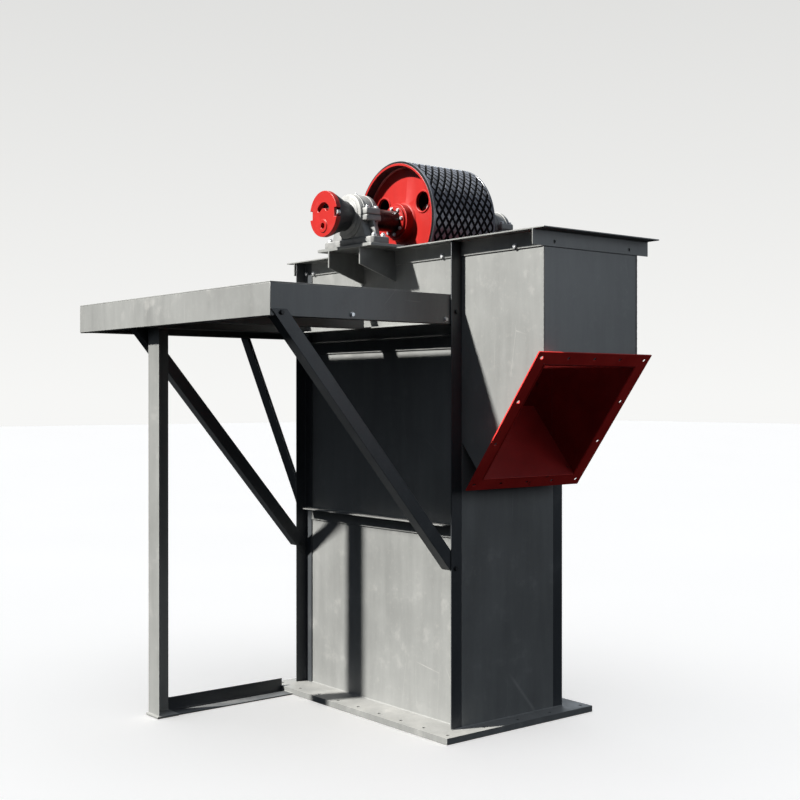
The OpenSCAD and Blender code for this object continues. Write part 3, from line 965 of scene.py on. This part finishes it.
@dataclass
class DischargeChute:
    """Sloping floor and bolted mouth flange of the discharge."""

    frame: dict
    shop: Paintshop
    low: tuple[float, float] = (0.733, 1.163)
    slope: float = 53.0
    half_w: float = 0.310
    bar: float = 0.065
    bar_t: float = 0.006
    length: float = 0.791

    def place(self) -> Matrix:
        """Gives the flange's own frame: its X runs up the slope, its Z points inwards."""
        turn = Matrix.Rotation(math.radians(-self.slope), 4, "Y")
        return Matrix.Translation((self.low[0], 0.0, self.low[1])) @ turn

    def build(self) -> None:
        """Dresses the floor and the flange."""
        # The chute floor takes the darker primer copy, as painted shade.
        softened(self.frame, "chute_floor", self.shop.shaded_inside, width=0.001)
        softened(self.frame, "chute_flange", self.shop.primer, width=0.0018)

    def weld(self) -> None:
        """Lays the beads inside the mouth and behind the flange."""
        place = self.place()
        seams = Workpiece()
        ends = (self.bar, self.length - self.bar)
        for sy in (-1, 1):
            for height in (0.0005, self.bar_t):
                side = sy * (self.half_w + (0.0 if height > 0.004 else -0.005))
                seams.add(weld_bead(
                    place @ Vector((ends[0], side, height)),
                    place @ Vector((ends[1], side, height)), 0.0036,
                ))
        seams.add(weld_bead(
            place @ Vector((self.bar, -self.half_w, 0.001)),
            place @ Vector((self.bar, self.half_w, 0.001)), 0.0036,
        ))
        fitted(seams, "chute_weld_beads", self.shop.primer, smooth=60.0)


@dataclass
class HeadPulley:
    """Steel shell with recessed red ends, shaft and hubs."""

    frame: dict
    shop: Paintshop
    axis_z: float = 2.505
    bore_r: float = 0.288
    disc_out: float = 0.155
    hub_r: float = 0.095
    hub_end: float = 0.208
    hole_r: float = 0.050
    hole_circle: float = 0.185
    shaft_r: float = 0.055

    def place(self, y: float, side: int = 1) -> Matrix:
        """Gives a place on the axis whose +Z looks out of that side."""
        return facing(Vector((0.0, y, self.axis_z)), Vector((0.0, side, 0.0)))

    def build(self) -> None:
        """Dresses the shell, the end discs and the shaft."""
        shell = softened(
            self.frame, "pulley_shell", self.shop.bare, PULLEY_BODY, 0.0012
        )
        shell.data.materials.append(self.shop.black)
        shell.data.materials.append(self.shop.red)
        for face in shell.data.polygons:
            arm = Vector((face.center.x, 0.0, face.center.z - self.axis_z))
            if abs(face.normal.y) > 0.9:
                face.material_index = 2
            # Faces that look into the shell take the near-black finish: painted shade inside the shell.
            elif face.normal.dot(arm) < 0.0:
                face.material_index = 1
        for name in ("pulley_disc_front", "pulley_disc_back"):
            softened(self.frame, name, self.shop.red, PULLEY_BODY, 0.0022)
        # The shaft's nearly black steel is painted shade.
        softened(
            self.frame, "head_shaft", self.shop.turned, PULLEY_BODY, 0.0020
        )

    def trim(self) -> None:
        """Adds the hole collars, the locking rings, their screws and the ring welds."""
        collars, rings, seams = Workpiece(), Workpiece(), Workpiece()
        screws: list[tuple[Vector, Vector]] = []
        for side in (-1, 1):
            outer = self.place(side * self.disc_out, side)
            for index in range(3):
                angle = math.radians(30.0 + 120.0 * index)
                centre = outer @ Vector((
                    self.hole_circle * math.cos(angle), self.hole_circle * math.sin(angle), 0.0,
                ))
                collars.turned(
                    [(self.hole_r + 0.0005, -0.004), (self.hole_r + 0.0005, 0.0038),
                     (self.hole_r + 0.0025, 0.0052), (self.hole_r + 0.0068, 0.0052),
                     (self.hole_r + 0.0095, 0.0022), (self.hole_r + 0.0095, -0.004)],
                    facing(centre, Vector((0.0, side, 0.0))), 32,
                )
            seams.turned(
                [(self.bore_r + 0.0005, -0.001), (self.bore_r + 0.0005, 0.0085),
                 (self.bore_r - 0.0035, 0.0060), (self.bore_r - 0.0085, -0.001)],
                outer, 96,
            )
            seams.turned(
                [(self.hub_r - 0.001, -0.001), (self.hub_r - 0.001, 0.0105),
                 (self.hub_r + 0.0045, 0.0070), (self.hub_r + 0.0105, -0.001)],
                outer, 64,
            )
            hub = self.place(side * self.hub_end, side)
            rings.turned(
                [(self.shaft_r + 0.0006, -0.006), (self.shaft_r + 0.0006, 0.010),
                 (self.shaft_r + 0.0030, 0.0125), (self.hub_r - 0.0160, 0.0125),
                 (self.hub_r - 0.0130, 0.0095), (self.hub_r - 0.0130, -0.006)],
                hub, 64,
            )
            for index in range(8):
                angle = math.radians(45.0 * index + 10.0)
                reach = (self.shaft_r + self.hub_r - 0.013) / 2
                at = hub @ Vector((reach * math.cos(angle), reach * math.sin(angle), 0.0120))
                screws.append((at, Vector((0.0, side, 0.0))))
        fitted(collars, "disc_hole_collars", self.shop.red, PULLEY_BODY)
        fitted(seams, "disc_ring_welds", self.shop.red, PULLEY_BODY, smooth=60.0)
        fitted(rings, "hub_locking_rings", self.shop.red, PULLEY_BODY)
        fitted(
            bolts(screws, M10, Fastening.HEAD), "locking_ring_screws",
            self.shop.zinc, PULLEY_BODY,
        )


@dataclass
class DiamondLagging:
    """Rubber sleeve with staggered diamond pads between two plain borders."""

    shop: Paintshop
    axis_z: float = 2.505
    bore_r: float = 0.3002
    sleeve_r: float = 0.3055
    top_r: float = 0.3118
    half_face: float = 0.209
    border: float = 0.0135
    around: int = 30
    columns: int = 9

    def sleeve(self) -> Workpiece:
        """Turns the sleeve with its two raised borders."""
        start = facing(Vector((0.0, -self.half_face, self.axis_z)), Vector((0.0, 1.0, 0.0)))
        length, edge, chamfer = 2 * self.half_face, self.border, 0.0016
        rise = self.top_r - self.sleeve_r
        profile = [
            (self.bore_r, 0.0), (self.top_r - chamfer, 0.0), (self.top_r, chamfer),
            (self.top_r, edge - chamfer), (self.sleeve_r, edge - chamfer + rise * 0.5),
            (self.sleeve_r, length - edge + chamfer - rise * 0.5), (self.top_r, length - edge + chamfer),
            (self.top_r, length - chamfer), (self.top_r - chamfer, length), (self.bore_r, length),
        ]
        return Workpiece().turned(profile, start, 152)

    def pad(self, y: float, half_x: float, half_y: float) -> Workpiece:
        """Cuts one diamond pad at the top of the sleeve, bent to its round."""
        work = Workpiece()
        bmesh.ops.create_circle(
            work.bm, segments=4, radius=1.0, cap_ends=True,
            matrix=Matrix.Diagonal((half_x, half_y, 1.0, 1.0)),
        )
        made = bmesh.ops.extrude_face_region(work.bm, geom=list(work.bm.faces))
        risen = [e for e in made["geom"] if isinstance(e, bmesh.types.BMVert)]
        bmesh.ops.translate(work.bm, verts=risen, vec=(0.0, 0.0, self.top_r - self.sleeve_r + 0.001))
        bmesh.ops.scale(work.bm, verts=risen, vec=(0.60, 0.60, 1.0))
        bmesh.ops.bisect_plane(
            work.bm, geom=[*work.bm.verts, *work.bm.edges, *work.bm.faces],
            plane_co=(0, 0, 0), plane_no=(1, 0, 0),
        )
        for vert in work.bm.verts:
            level = self.sleeve_r - 0.001 + vert.co.z
            vert.co.z = math.sqrt(level * level - vert.co.x * vert.co.x)
        bmesh.ops.translate(work.bm, verts=work.bm.verts, vec=(0.0, y, self.axis_z))
        return work

    def row(self, count: int, shifted: bool) -> Workpiece:
        """Lays one row of pads along the face and cuts it off at the borders."""
        limit = self.half_face - self.border + 0.0005
        pitch = 2 * limit / self.columns
        half_x = math.tau * self.top_r / self.around / 2
        work = Workpiece()
        for index in range(count):
            y = -limit + pitch * (index + (0.0 if shifted else 0.5))
            work.add(self.pad(y, half_x * 0.95, pitch / 2 * 0.93))
        for side in (-1, 1):
            bmesh.ops.bisect_plane(
                work.bm, geom=[*work.bm.verts, *work.bm.edges, *work.bm.faces],
                plane_co=(0, side * limit, 0), plane_no=(0, side, 0), clear_outer=True,
            )
        bmesh.ops.holes_fill(work.bm, edges=work.bm.edges, sides=0)
        return work

    def build(self) -> None:
        """Spins the rows round the pulley and fits the lagging."""
        work = self.sleeve()
        step = math.tau / self.around
        for shifted in (False, True):
            row = self.row(self.columns + (1 if shifted else 0), shifted)
            if shifted:
                turn = Matrix.Rotation(step / 2, 3, "Y")
                bmesh.ops.rotate(
                    row.bm, verts=row.bm.verts, cent=(0, 0, self.axis_z), matrix=turn
                )
            bmesh.ops.spin(
                row.bm, geom=[*row.bm.verts, *row.bm.edges, *row.bm.faces],
                cent=(0, 0, self.axis_z), axis=(0, 1, 0), angle=math.tau - step,
                steps=self.around - 1, use_duplicate=True,
            )
            work.add(row)
        fitted(
            work, "diamond_lagging", self.shop.rubber, PULLEY_BODY,
            ("pulley_lagging",), 28.0,
        )


@dataclass
class PillowBlock:
    """Split bearing housing: foot, body, cap, seals and bolts."""

    shop: Paintshop
    side: int
    axis_z: float = 2.505
    seat_z: float = 2.355
    centre_y: float = 0.460
    half_w: float = 0.060
    half_l: float = 0.205
    body_r: float = 0.113
    foot_h: float = 0.036
    web_half_l: float = 0.150
    web_half_w: float = 0.050
    trough_half_l: float = 0.104
    ear_t: float = 0.030
    cap_ear_t: float = 0.034
    rib_half_w: float = 0.007
    split_gap: float = 0.0008
    foot_bolt_x: float = 0.183
    cap_bolt_x: float = 0.128
    bolt_y: float = 0.028
    shaft_r: float = 0.0565

    @property
    def label(self) -> str:
        """Gives the side's name."""
        return "front" if self.side < 0 else "back"

    def axis(self, y: float) -> Matrix:
        """Gives a place on the shaft's line that looks out of the casing."""
        return facing(
            Vector((0.0, self.side * y, self.axis_z)), Vector((0.0, self.side, 0.0))
        )

    def drum(self, radius: float, half: float, edge: float) -> Workpiece:
        """Turns the hollow round body with rounded shoulders."""
        profile = [
            (self.shaft_r + 0.012, 0.0), (radius - edge, 0.0), (radius - edge * 0.3, edge * 0.3),
            (radius, edge), (radius, 2 * half - edge), (radius - edge * 0.3, 2 * half - edge * 0.3),
            (radius - edge, 2 * half), (self.shaft_r + 0.012, 2 * half),
        ]
        return Workpiece().turned(profile, self.axis(self.centre_y - half), 96)

    def half_drum(self, radius: float, half: float, edge: float, upper: bool) -> Workpiece:
        """Cuts the round body at the split line and closes the cut."""
        work = self.drum(radius, half, edge)
        gap = self.split_gap if upper else -self.split_gap
        cut = bmesh.ops.bisect_plane(
            work.bm, geom=[*work.bm.verts, *work.bm.edges, *work.bm.faces],
            plane_co=(0.0, 0.0, self.axis_z + gap), plane_no=(0.0, 0.0, -1.0 if upper else 1.0),
            clear_outer=True,
        )
        rims = [e for e in cut["geom_cut"] if isinstance(e, bmesh.types.BMEdge)]
        bmesh.ops.contextual_create(work.bm, geom=rims)
        bmesh.ops.holes_fill(work.bm, edges=work.bm.edges, sides=0)
        return work

    def span(self, near: float, far: float) -> tuple[float, float]:
        """Gives limits along Y on this block's side, lowest first."""
        ends = sorted((self.side * near, self.side * far))
        return ends[0], ends[1]

    def section(self, outline: list[tuple[float, float]], half: float) -> Workpiece:
        """Extrudes an upright outline along the shaft, the same way to both sides.

        Args:
            outline: Points as (x, height).
            half: How far it reaches from the block's middle.

        Returns:
            The piece as a workpiece.
        """
        start = self.side * self.centre_y + half
        upright = Matrix.Translation((0.0, start, 0.0)) @ Matrix.Rotation(math.pi / 2, 4, "X")
        return Workpiece().slab(outline, 2 * half, upright)

    def base(self) -> Workpiece:
        """Builds the lower half: foot, web, ears and ribs."""
        reach, half, snip = self.half_l, self.half_w, 0.016
        quarter = [(reach, half - snip), (reach - snip, half)]
        outline = [(-x, -y) for x, y in quarter]
        outline += [(x, -y) for x, y in reversed(quarter)]
        outline += quarter
        outline += [(-x, y) for x, y in reversed(quarter)]
        work = Workpiece().slab(
            outline, self.foot_h, Matrix.Translation((0.0, self.side * self.centre_y, self.seat_z))
        )
        work.bevel(0.006, 3)
        low, mid, top = self.seat_z + 0.004, self.seat_z + self.foot_h, self.axis_z - 0.001
        wide, slim, shoulder = self.web_half_l, self.trough_half_l, self.axis_z - 0.020
        trough = self.section(
            [(-wide, low), (wide, low), (wide - 0.010, mid), (slim, shoulder), (slim, top),
             (-slim, top), (-slim, shoulder), (-wide + 0.010, mid)],
            self.web_half_w,
        )
        work.add(trough.bevel(0.005, 2))
        work.add(self.half_drum(self.body_r, 0.058, 0.008, False))
        for sx in (-1, 1):
            ear = Workpiece().block(
                tuple(sorted((sx * 0.092, sx * 0.146))),
                self.span(self.centre_y - 0.046, self.centre_y + 0.046),
                (self.axis_z - self.ear_t, self.axis_z - self.split_gap),
            )
            work.add(ear.bevel(0.006, 3))
            foot, head = mid - 0.004, self.axis_z - self.ear_t + 0.004
            rib = self.section(
                [(sx * 0.100, head), (sx * 0.142, head), (sx * 0.178, foot), (sx * 0.100, foot)],
                self.rib_half_w,
            )
            work.add(rib.bevel(0.003, 2))
        return work

    def cap(self) -> Workpiece:
        """Builds the upper half: round body, ears and two raised belts."""
        work = self.half_drum(self.body_r, 0.058, 0.010, True)
        for sx in (-1, 1):
            ear = Workpiece().block(
                tuple(sorted((sx * 0.088, sx * 0.144))),
                self.span(self.centre_y - 0.044, self.centre_y + 0.044),
                (self.axis_z + self.split_gap, self.axis_z + self.cap_ear_t),
            )
            work.add(ear.bevel(0.007, 3))
        for y in (-0.030, 0.030):
            belt = Workpiece().turned(
                [(self.body_r - 0.004, 0.0), (self.body_r + 0.002, 0.002),
                 (self.body_r + 0.002, 0.008), (self.body_r - 0.004, 0.010)],
                self.axis(self.centre_y + y - 0.005), 96,
            )
            bmesh.ops.bisect_plane(
                belt.bm, geom=[*belt.bm.verts, *belt.bm.edges, *belt.bm.faces],
                plane_co=(0.0, 0.0, self.axis_z + 0.030), plane_no=(0.0, 0.0, -1.0),
                clear_outer=True,
            )
            bmesh.ops.holes_fill(belt.bm, edges=belt.bm.edges, sides=0)
            work.add(belt)
        return work

    def seals(self) -> Workpiece:
        """Turns the stepped seal covers on both faces."""
        work = Workpiece()
        for sign in (-1, 1):
            place = facing(
                Vector((0.0, self.side * self.centre_y + sign * 0.057, self.axis_z)),
                Vector((0.0, sign, 0.0)),
            )
            work.turned(
                [(self.shaft_r - 0.0005, -0.002), (self.shaft_r - 0.0005, 0.0085),
                 (self.shaft_r + 0.006, 0.0095), (self.shaft_r + 0.010, 0.0060),
                 (self.shaft_r + 0.028, 0.0052), (self.shaft_r + 0.033, 0.0030),
                 (self.shaft_r + 0.034, -0.002)],
                place, 72,
            )
        return work

    def build(self) -> None:
        """Builds the block and mounts its pieces."""
        # The base and seals take the darker casting copy as painted shade, the cap the lighter copy as
        # painted light.
        fitted(
            self.base(), f"bearing_housing_{self.label}", self.shop.cast,
            stands_for=(f"bearing_base_{self.label}",), smooth=40.0,
        )
        fitted(
            self.cap(), f"bearing_cover_{self.label}", self.shop.cast_painted_light,
            stands_for=(f"bearing_cap_{self.label}",), smooth=40.0,
        )
        fitted(self.seals(), f"bearing_seals_{self.label}", self.shop.cast, smooth=40.0)
        up = Vector((0.0, 0.0, 1.0))
        foot, cap = [], []
        for sx in (-1, 1):
            for dy in (-self.bolt_y, self.bolt_y):
                y = self.side * self.centre_y + dy
                foot.append((Vector((sx * self.foot_bolt_x, y, self.seat_z + self.foot_h)), up))
                cap.append((Vector((sx * self.cap_bolt_x, y, self.axis_z + self.cap_ear_t)), up))
        fitted(
            bolts(foot, M16, Fastening.NUT), f"bearing_foot_bolts_{self.label}",
            self.shop.zinc,
        )
        fitted(
            bolts(cap, M12, Fastening.HEAD), f"bearing_cap_bolts_{self.label}",
            self.shop.zinc,
        )
        top = self.axis_z + self.body_r
        hexagon, cone = (
            Matrix.Translation((0.0, self.side * self.centre_y, top + rise))
            for rise in (-0.001, 0.0035)
        )
        nipple = Workpiece().round_bar(0.007, 0.006, hexagon, 6)
        nipple.round_bar(0.0032, 0.0060, cone, 12, 0.0020)
        fitted(nipple, f"grease_nipple_{self.label}", self.shop.zinc)


@dataclass
class DriveCoupling:
    """Coupling half on the near shaft end: black hub and red drive disc."""

    frame: dict
    shop: Paintshop
    axis_z: float = 2.505
    disc_y: float = -0.640
    disc_r: float = 0.114

    def build(self) -> None:
        """Dresses the hub and the disc, and adds their screws."""
        softened(
            self.frame, "coupling_disc", self.shop.red, PULLEY_BODY, 0.0018
        )
        # The hub's black is partly its own dark finish and partly painted shade on its round side.
        softened(
            self.frame, "coupling_hub", self.shop.black, PULLEY_BODY, 0.0020
        )
        back = Vector((0.0, -1.0, 0.0))
        screws = []
        for sx in (-1, 1):
            at = Vector((sx * (self.disc_r - 0.020), self.disc_y, self.axis_z))
            screws.append((at, back))
        fitted(
            bolts(screws, M16, Fastening.HEAD), "coupling_drive_bolts",
            self.shop.zinc, PULLEY_BODY,
        )


@dataclass
class BearingSeats:
    """Seat plates with their gussets, welded to the rim."""

    frame: dict
    shop: Paintshop
    panel_y: float = 0.310
    rim_y: float = 0.385
    out_y: float = 0.538
    top: float = 2.340
    gusset_x: float = 0.130
    gusset_t: float = 0.010
    gusset_z: tuple[float, float] = (2.182, 2.264)
    half_l: float = 0.225

    def build(self) -> None:
        """Dresses the seats and welds the gussets on."""
        seams = Workpiece()
        for side, name in ((-1, "bearing_seat_front"), (1, "bearing_seat_back")):
            softened(self.frame, name, self.shop.grey, width=0.0014)
            for sx in (-1, 1):
                for face in (-self.gusset_t / 2, self.gusset_t / 2):
                    x = sx * self.gusset_x + face
                    seams.add(weld_bead(
                        Vector((x, side * self.rim_y, self.top)),
                        Vector((x, side * self.out_y, self.top)), 0.0036,
                    ))
                    seams.add(weld_bead(
                        Vector((x, side * self.panel_y, self.gusset_z[0])),
                        Vector((x, side * self.panel_y, self.gusset_z[1])), 0.0036,
                    ))
            for x in (-self.half_l, self.half_l):
                seams.add(weld_bead(
                    Vector((x, side * (self.panel_y + 0.002), self.top)),
                    Vector((x, side * self.rim_y, self.top)), 0.0040,
                ))
        fitted(seams, "seat_weld_beads", self.shop.grey, smooth=60.0)


@dataclass
class DrivePlatform:
    """Channel frame with its deck, braces, post and ground beam."""

    frame: dict
    shop: Paintshop
    outer_y: float = -1.380
    end_x: float = 0.618
    wing_x: float = -1.240
    under: float = 1.943
    deck: float = 2.083
    post_x: tuple[float, float] = (-0.638, -0.528)
    post_y: tuple[float, float] = (-1.290, -1.180)
    foot_t: float = 0.010
    ground_top: float = 0.070
    base_edge: float = -0.490
    joist_x: float = 0.560
    inner_web_y: float = -0.433
    casing_end: float = -0.665
    wing_foot: tuple[float, float] = (1.022, 1.136)
    wing_brace_y: float = 0.375

    def build(self) -> None:
        """Dresses every beam, the deck, the braces and the post."""
        for node in (
            "platform_front_beam", "platform_side_beam", "platform_wing_beam",
            "platform_back_beam", "platform_inner_beam", "platform_joists", "post",
        ):
            softened(self.frame, node, self.shop.grey, width=0.0016)
        # The braces and the ground beam take the darker grey, which paints in shade.
        for node in ("brace_side", "brace_post", "brace_wing_front", "brace_wing_back", "ground_beam"):
            softened(self.frame, node, self.shop.shade_grey, width=0.0016)
        softened(self.frame, "platform_deck", self.shop.grey, width=0.0010)

    def weld(self) -> None:
        """Lays the beads between beams, posts and plates."""
        web, flange, near = 0.007, 0.058, self.outer_y
        (heel, tip), (front, rear), foot = self.post_x, self.post_y, self.foot_t
        head = self.under - 0.001
        runs = [
            ((heel, front, head), (tip, front, head)),
            ((heel, front, foot), (tip, front, foot)),
            ((tip, front + 0.006, foot), (tip, front, foot)),
            ((heel, rear, foot + 0.002), (heel, rear, self.ground_top)),
            ((heel, self.base_edge, 0.004), (heel, self.base_edge, self.ground_top)),
            ((tip, self.base_edge, 0.006), (heel, self.base_edge, 0.006)),
        ]
        for x in (-self.joist_x, self.joist_x):
            runs.append(((x, self.inner_web_y, self.under + 0.004), (x, self.inner_web_y, self.deck)))
        for corner, sx in ((self.end_x, -1), (self.wing_x, 1)):
            inner = corner + sx * web
            runs.append(((inner, near + web, self.under + web), (inner, near + web, self.deck - web)))
            runs.append((
                (corner + sx * 0.003, near + 0.003, self.under),
                (corner + sx * flange, near + flange, self.under),
            ))
        for y in (-self.wing_brace_y, self.wing_brace_y):
            runs.append(tuple((self.casing_end, y, z) for z in self.wing_foot))
        seams = Workpiece()
        for start, end in runs:
            seams.add(weld_bead(Vector(start), Vector(end), 0.0030))
        fitted(seams, "platform_weld_beads", self.shop.grey, smooth=60.0)

    def bolt(self) -> None:
        """Sets the bolts at the ends of the front braces and of the side beam."""
        right = Vector((1.0, 0.0, 0.0))
        painted = [
            (Vector((0.624, -1.3256, 1.957)), right),
            (Vector((0.630, -0.348, 0.790)), right),
            (Vector((0.630, -0.345, 2.000)), right),
            (Vector((-0.653, -0.350, 0.790)), right),
        ]
        fitted(bolts(painted, M12, Fastening.HEAD), "brace_bolts", self.shop.black)
        plated = [(Vector((0.618, y, 1.963)), right) for y in (-0.402, -0.950)]
        fitted(
            bolts(plated, M12, Fastening.HEAD), "beam_bolts", self.shop.zinc
        )


@dataclass(frozen=True)
class Shade:
    """Colour of the room's wall, and how its strength changes with height."""

    colour: tuple[float, float, float]
    heights: tuple[float, float]
    strengths: tuple[float, float]


GLOW = Shade((0.80, 0.90, 1.04), (-0.05, 0.60), (0.015, 0.55))
BACKDROP = Shade((1.0, 1.0, 0.985), (0.0, 0.32), (0.93, 0.74))


@dataclass
class Studio:
    """Floor, light and the camera at the photograph's angle."""

    shop: Paintshop
    camera_at: tuple[float, float, float] = (5.028, -4.2525, 1.6)
    camera_azimuth: float = 50.968
    camera_pitch: float = -0.152
    lens: float = 56.03
    sun_travel: tuple[float, float, float] = (0.403, 1.0, -0.938)

    def floor(self) -> bpy.types.Object:
        """Lays the floor and hides it from diffuse and glossy rays."""
        work = Workpiece()
        bmesh.ops.create_grid(
            work.bm, x_segments=8, y_segments=8, size=60.0, matrix=Matrix.Translation((0, 0, -0.0015))
        )
        made = work.object("floor", self.shop.floor)
        made.visible_diffuse = False
        made.visible_glossy = False
        return made

    @staticmethod
    def only_for(floor: bpy.types.Object, name: str) -> bpy.types.Collection:
        """Makes a light-linking collection that holds the floor."""
        made = bpy.data.collections.new(name)
        made.objects.link(floor)
        return made

    def light(self, floor: bpy.types.Object) -> None:
        """Hangs the key light, a soft light for the floor and two soft panels.

        Args:
            floor: The floor, which the key light and the panels leave alone.
        """
        key = self._sun("key_light", Vector(self.sun_travel), 17.5, 2.6, (1.0, 0.975, 0.93))
        wash = self._sun("floor_wash", Vector((0.05, 0.12, -1.0)), 1.00, 75.0, (1.0, 0.99, 0.97))
        spare = self.only_for(floor, "not_keyed")
        side = self._panel("side_panel", Vector((5.0, 2.6, 2.9)), Vector((0.9, -0.2, 1.9)), 2.6, 50.0)
        back = self._panel("back_panel", Vector((-4.2, 3.8, 3.2)), Vector((-0.2, 0.3, 1.4)), 2.8, 105.0)
        for lamp in (key, side, back):
            lamp.light_linking.receiver_collection = spare
        spare.collection_objects[0].light_linking.link_state = "EXCLUDE"
        wash.light_linking.receiver_collection = self.only_for(floor, "washed")

    def room(self) -> None:
        """Surrounds the machine with a soft glow, and with a backdrop that only the camera sees."""
        world = bpy.data.worlds.new("room")
        bpy.context.scene.world = world
        world.use_nodes = True
        nodes, links = world.node_tree.nodes, world.node_tree.links
        nodes.clear()
        place = nodes.new("ShaderNodeTexCoord")
        split = nodes.new("ShaderNodeSeparateXYZ")
        path = nodes.new("ShaderNodeLightPath")
        mix = nodes.new("ShaderNodeMixShader")
        out = nodes.new("ShaderNodeOutputWorld")
        links.new(place.outputs["Generated"], split.inputs[0])
        links.new(path.outputs["Is Camera Ray"], mix.inputs[0])
        links.new(mix.outputs[0], out.inputs["Surface"])
        for socket, shade in ((1, GLOW), (2, BACKDROP)):
            ramp = nodes.new("ShaderNodeMapRange")
            ramp.inputs["From Min"].default_value, ramp.inputs["From Max"].default_value = shade.heights
            ramp.inputs["To Min"].default_value, ramp.inputs["To Max"].default_value = shade.strengths
            wall = nodes.new("ShaderNodeBackground")
            wall.inputs["Color"].default_value = (*shade.colour, 1.0)
            links.new(split.outputs["Z"], ramp.inputs["Value"])
            links.new(ramp.outputs[0], wall.inputs["Strength"])
            links.new(wall.outputs[0], mix.inputs[socket])

    def _sun(
        self, name: str, travel: Vector, energy: float, spread: float,
        colour: tuple[float, float, float],
    ) -> bpy.types.Object:
        """Adds one sun lamp.

        Args:
            name: Name of the lamp.
            travel: The way its light travels.
            energy: Its strength.
            spread: Its angular size in degrees.
            colour: Its colour.

        Returns:
            The lamp's object.
        """
        lamp = bpy.data.lights.new(name, "SUN")
        lamp.energy = energy
        lamp.angle = math.radians(spread)
        lamp.color = colour
        made = bpy.data.objects.new(name, lamp)
        made.rotation_mode = "QUATERNION"
        made.rotation_quaternion = travel.to_track_quat("-Z", "Y")
        made.location = (0.0, -3.0, 6.0)
        bpy.context.scene.collection.objects.link(made)
        return made

    def _panel(
        self, name: str, at: Vector, towards: Vector, size: float, power: float
    ) -> bpy.types.Object:
        """Hangs one soft square light that faces a point.

        Args:
            name: Name of the lamp.
            at: Its middle.
            towards: The point that it faces.
            size: Length of its sides.
            power: Its power in watts.

        Returns:
            The lamp's object.
        """
        lamp = bpy.data.lights.new(name, "AREA")
        lamp.shape = "SQUARE"
        lamp.size = size
        lamp.energy = power
        lamp.color = (0.86, 0.93, 1.0)
        made = bpy.data.objects.new(name, lamp)
        made.rotation_mode = "QUATERNION"
        made.rotation_quaternion = (towards - at).to_track_quat("-Z", "Y")
        made.location = at
        bpy.context.scene.collection.objects.link(made)
        return made

    def camera(self) -> None:
        """Sets the camera where the photograph was taken from."""
        data = bpy.data.cameras.new("camera")
        data.lens = self.lens
        data.sensor_width = 36.0
        data.clip_end = 200.0
        made = bpy.data.objects.new("camera", data)
        made.location = self.camera_at
        made.rotation_euler = (
            math.radians(90.0 + self.camera_pitch), 0.0, math.radians(self.camera_azimuth),
        )
        bpy.context.scene.collection.objects.link(made)
        bpy.context.scene.camera = made
        bpy.context.scene.view_settings.view_transform = "Standard"


def main() -> None:
    """Builds and dresses the elevator head, then its studio."""
    logging.basicConfig(level=logging.INFO, format="%(name)s: %(message)s")
    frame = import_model()
    low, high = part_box("head_shaft")
    shop = Paintshop((low.z + high.z) / 2)
    casing = CasingShell(frame, shop)
    casing.build()
    casing.weld()
    casing.bolt()
    chute = DischargeChute(frame, shop)
    chute.build()
    chute.weld()
    BearingSeats(frame, shop).build()
    pulley = HeadPulley(frame, shop)
    pulley.build()
    pulley.trim()
    DiamondLagging(shop).build()
    for side in (-1, 1):
        PillowBlock(shop, side).build()
    DriveCoupling(frame, shop).build()
    platform = DrivePlatform(frame, shop)
    platform.build()
    platform.weld()
    platform.bolt()
    studio = Studio(shop)
    studio.light(studio.floor())
    studio.room()
    studio.camera()
    for name, node in frame["nodes"].items():
        if not node.data.materials or node.data.materials[0] is None:
            LOG.info("%s has no finish of its own", name)


if __name__ == "__main__":
    main()
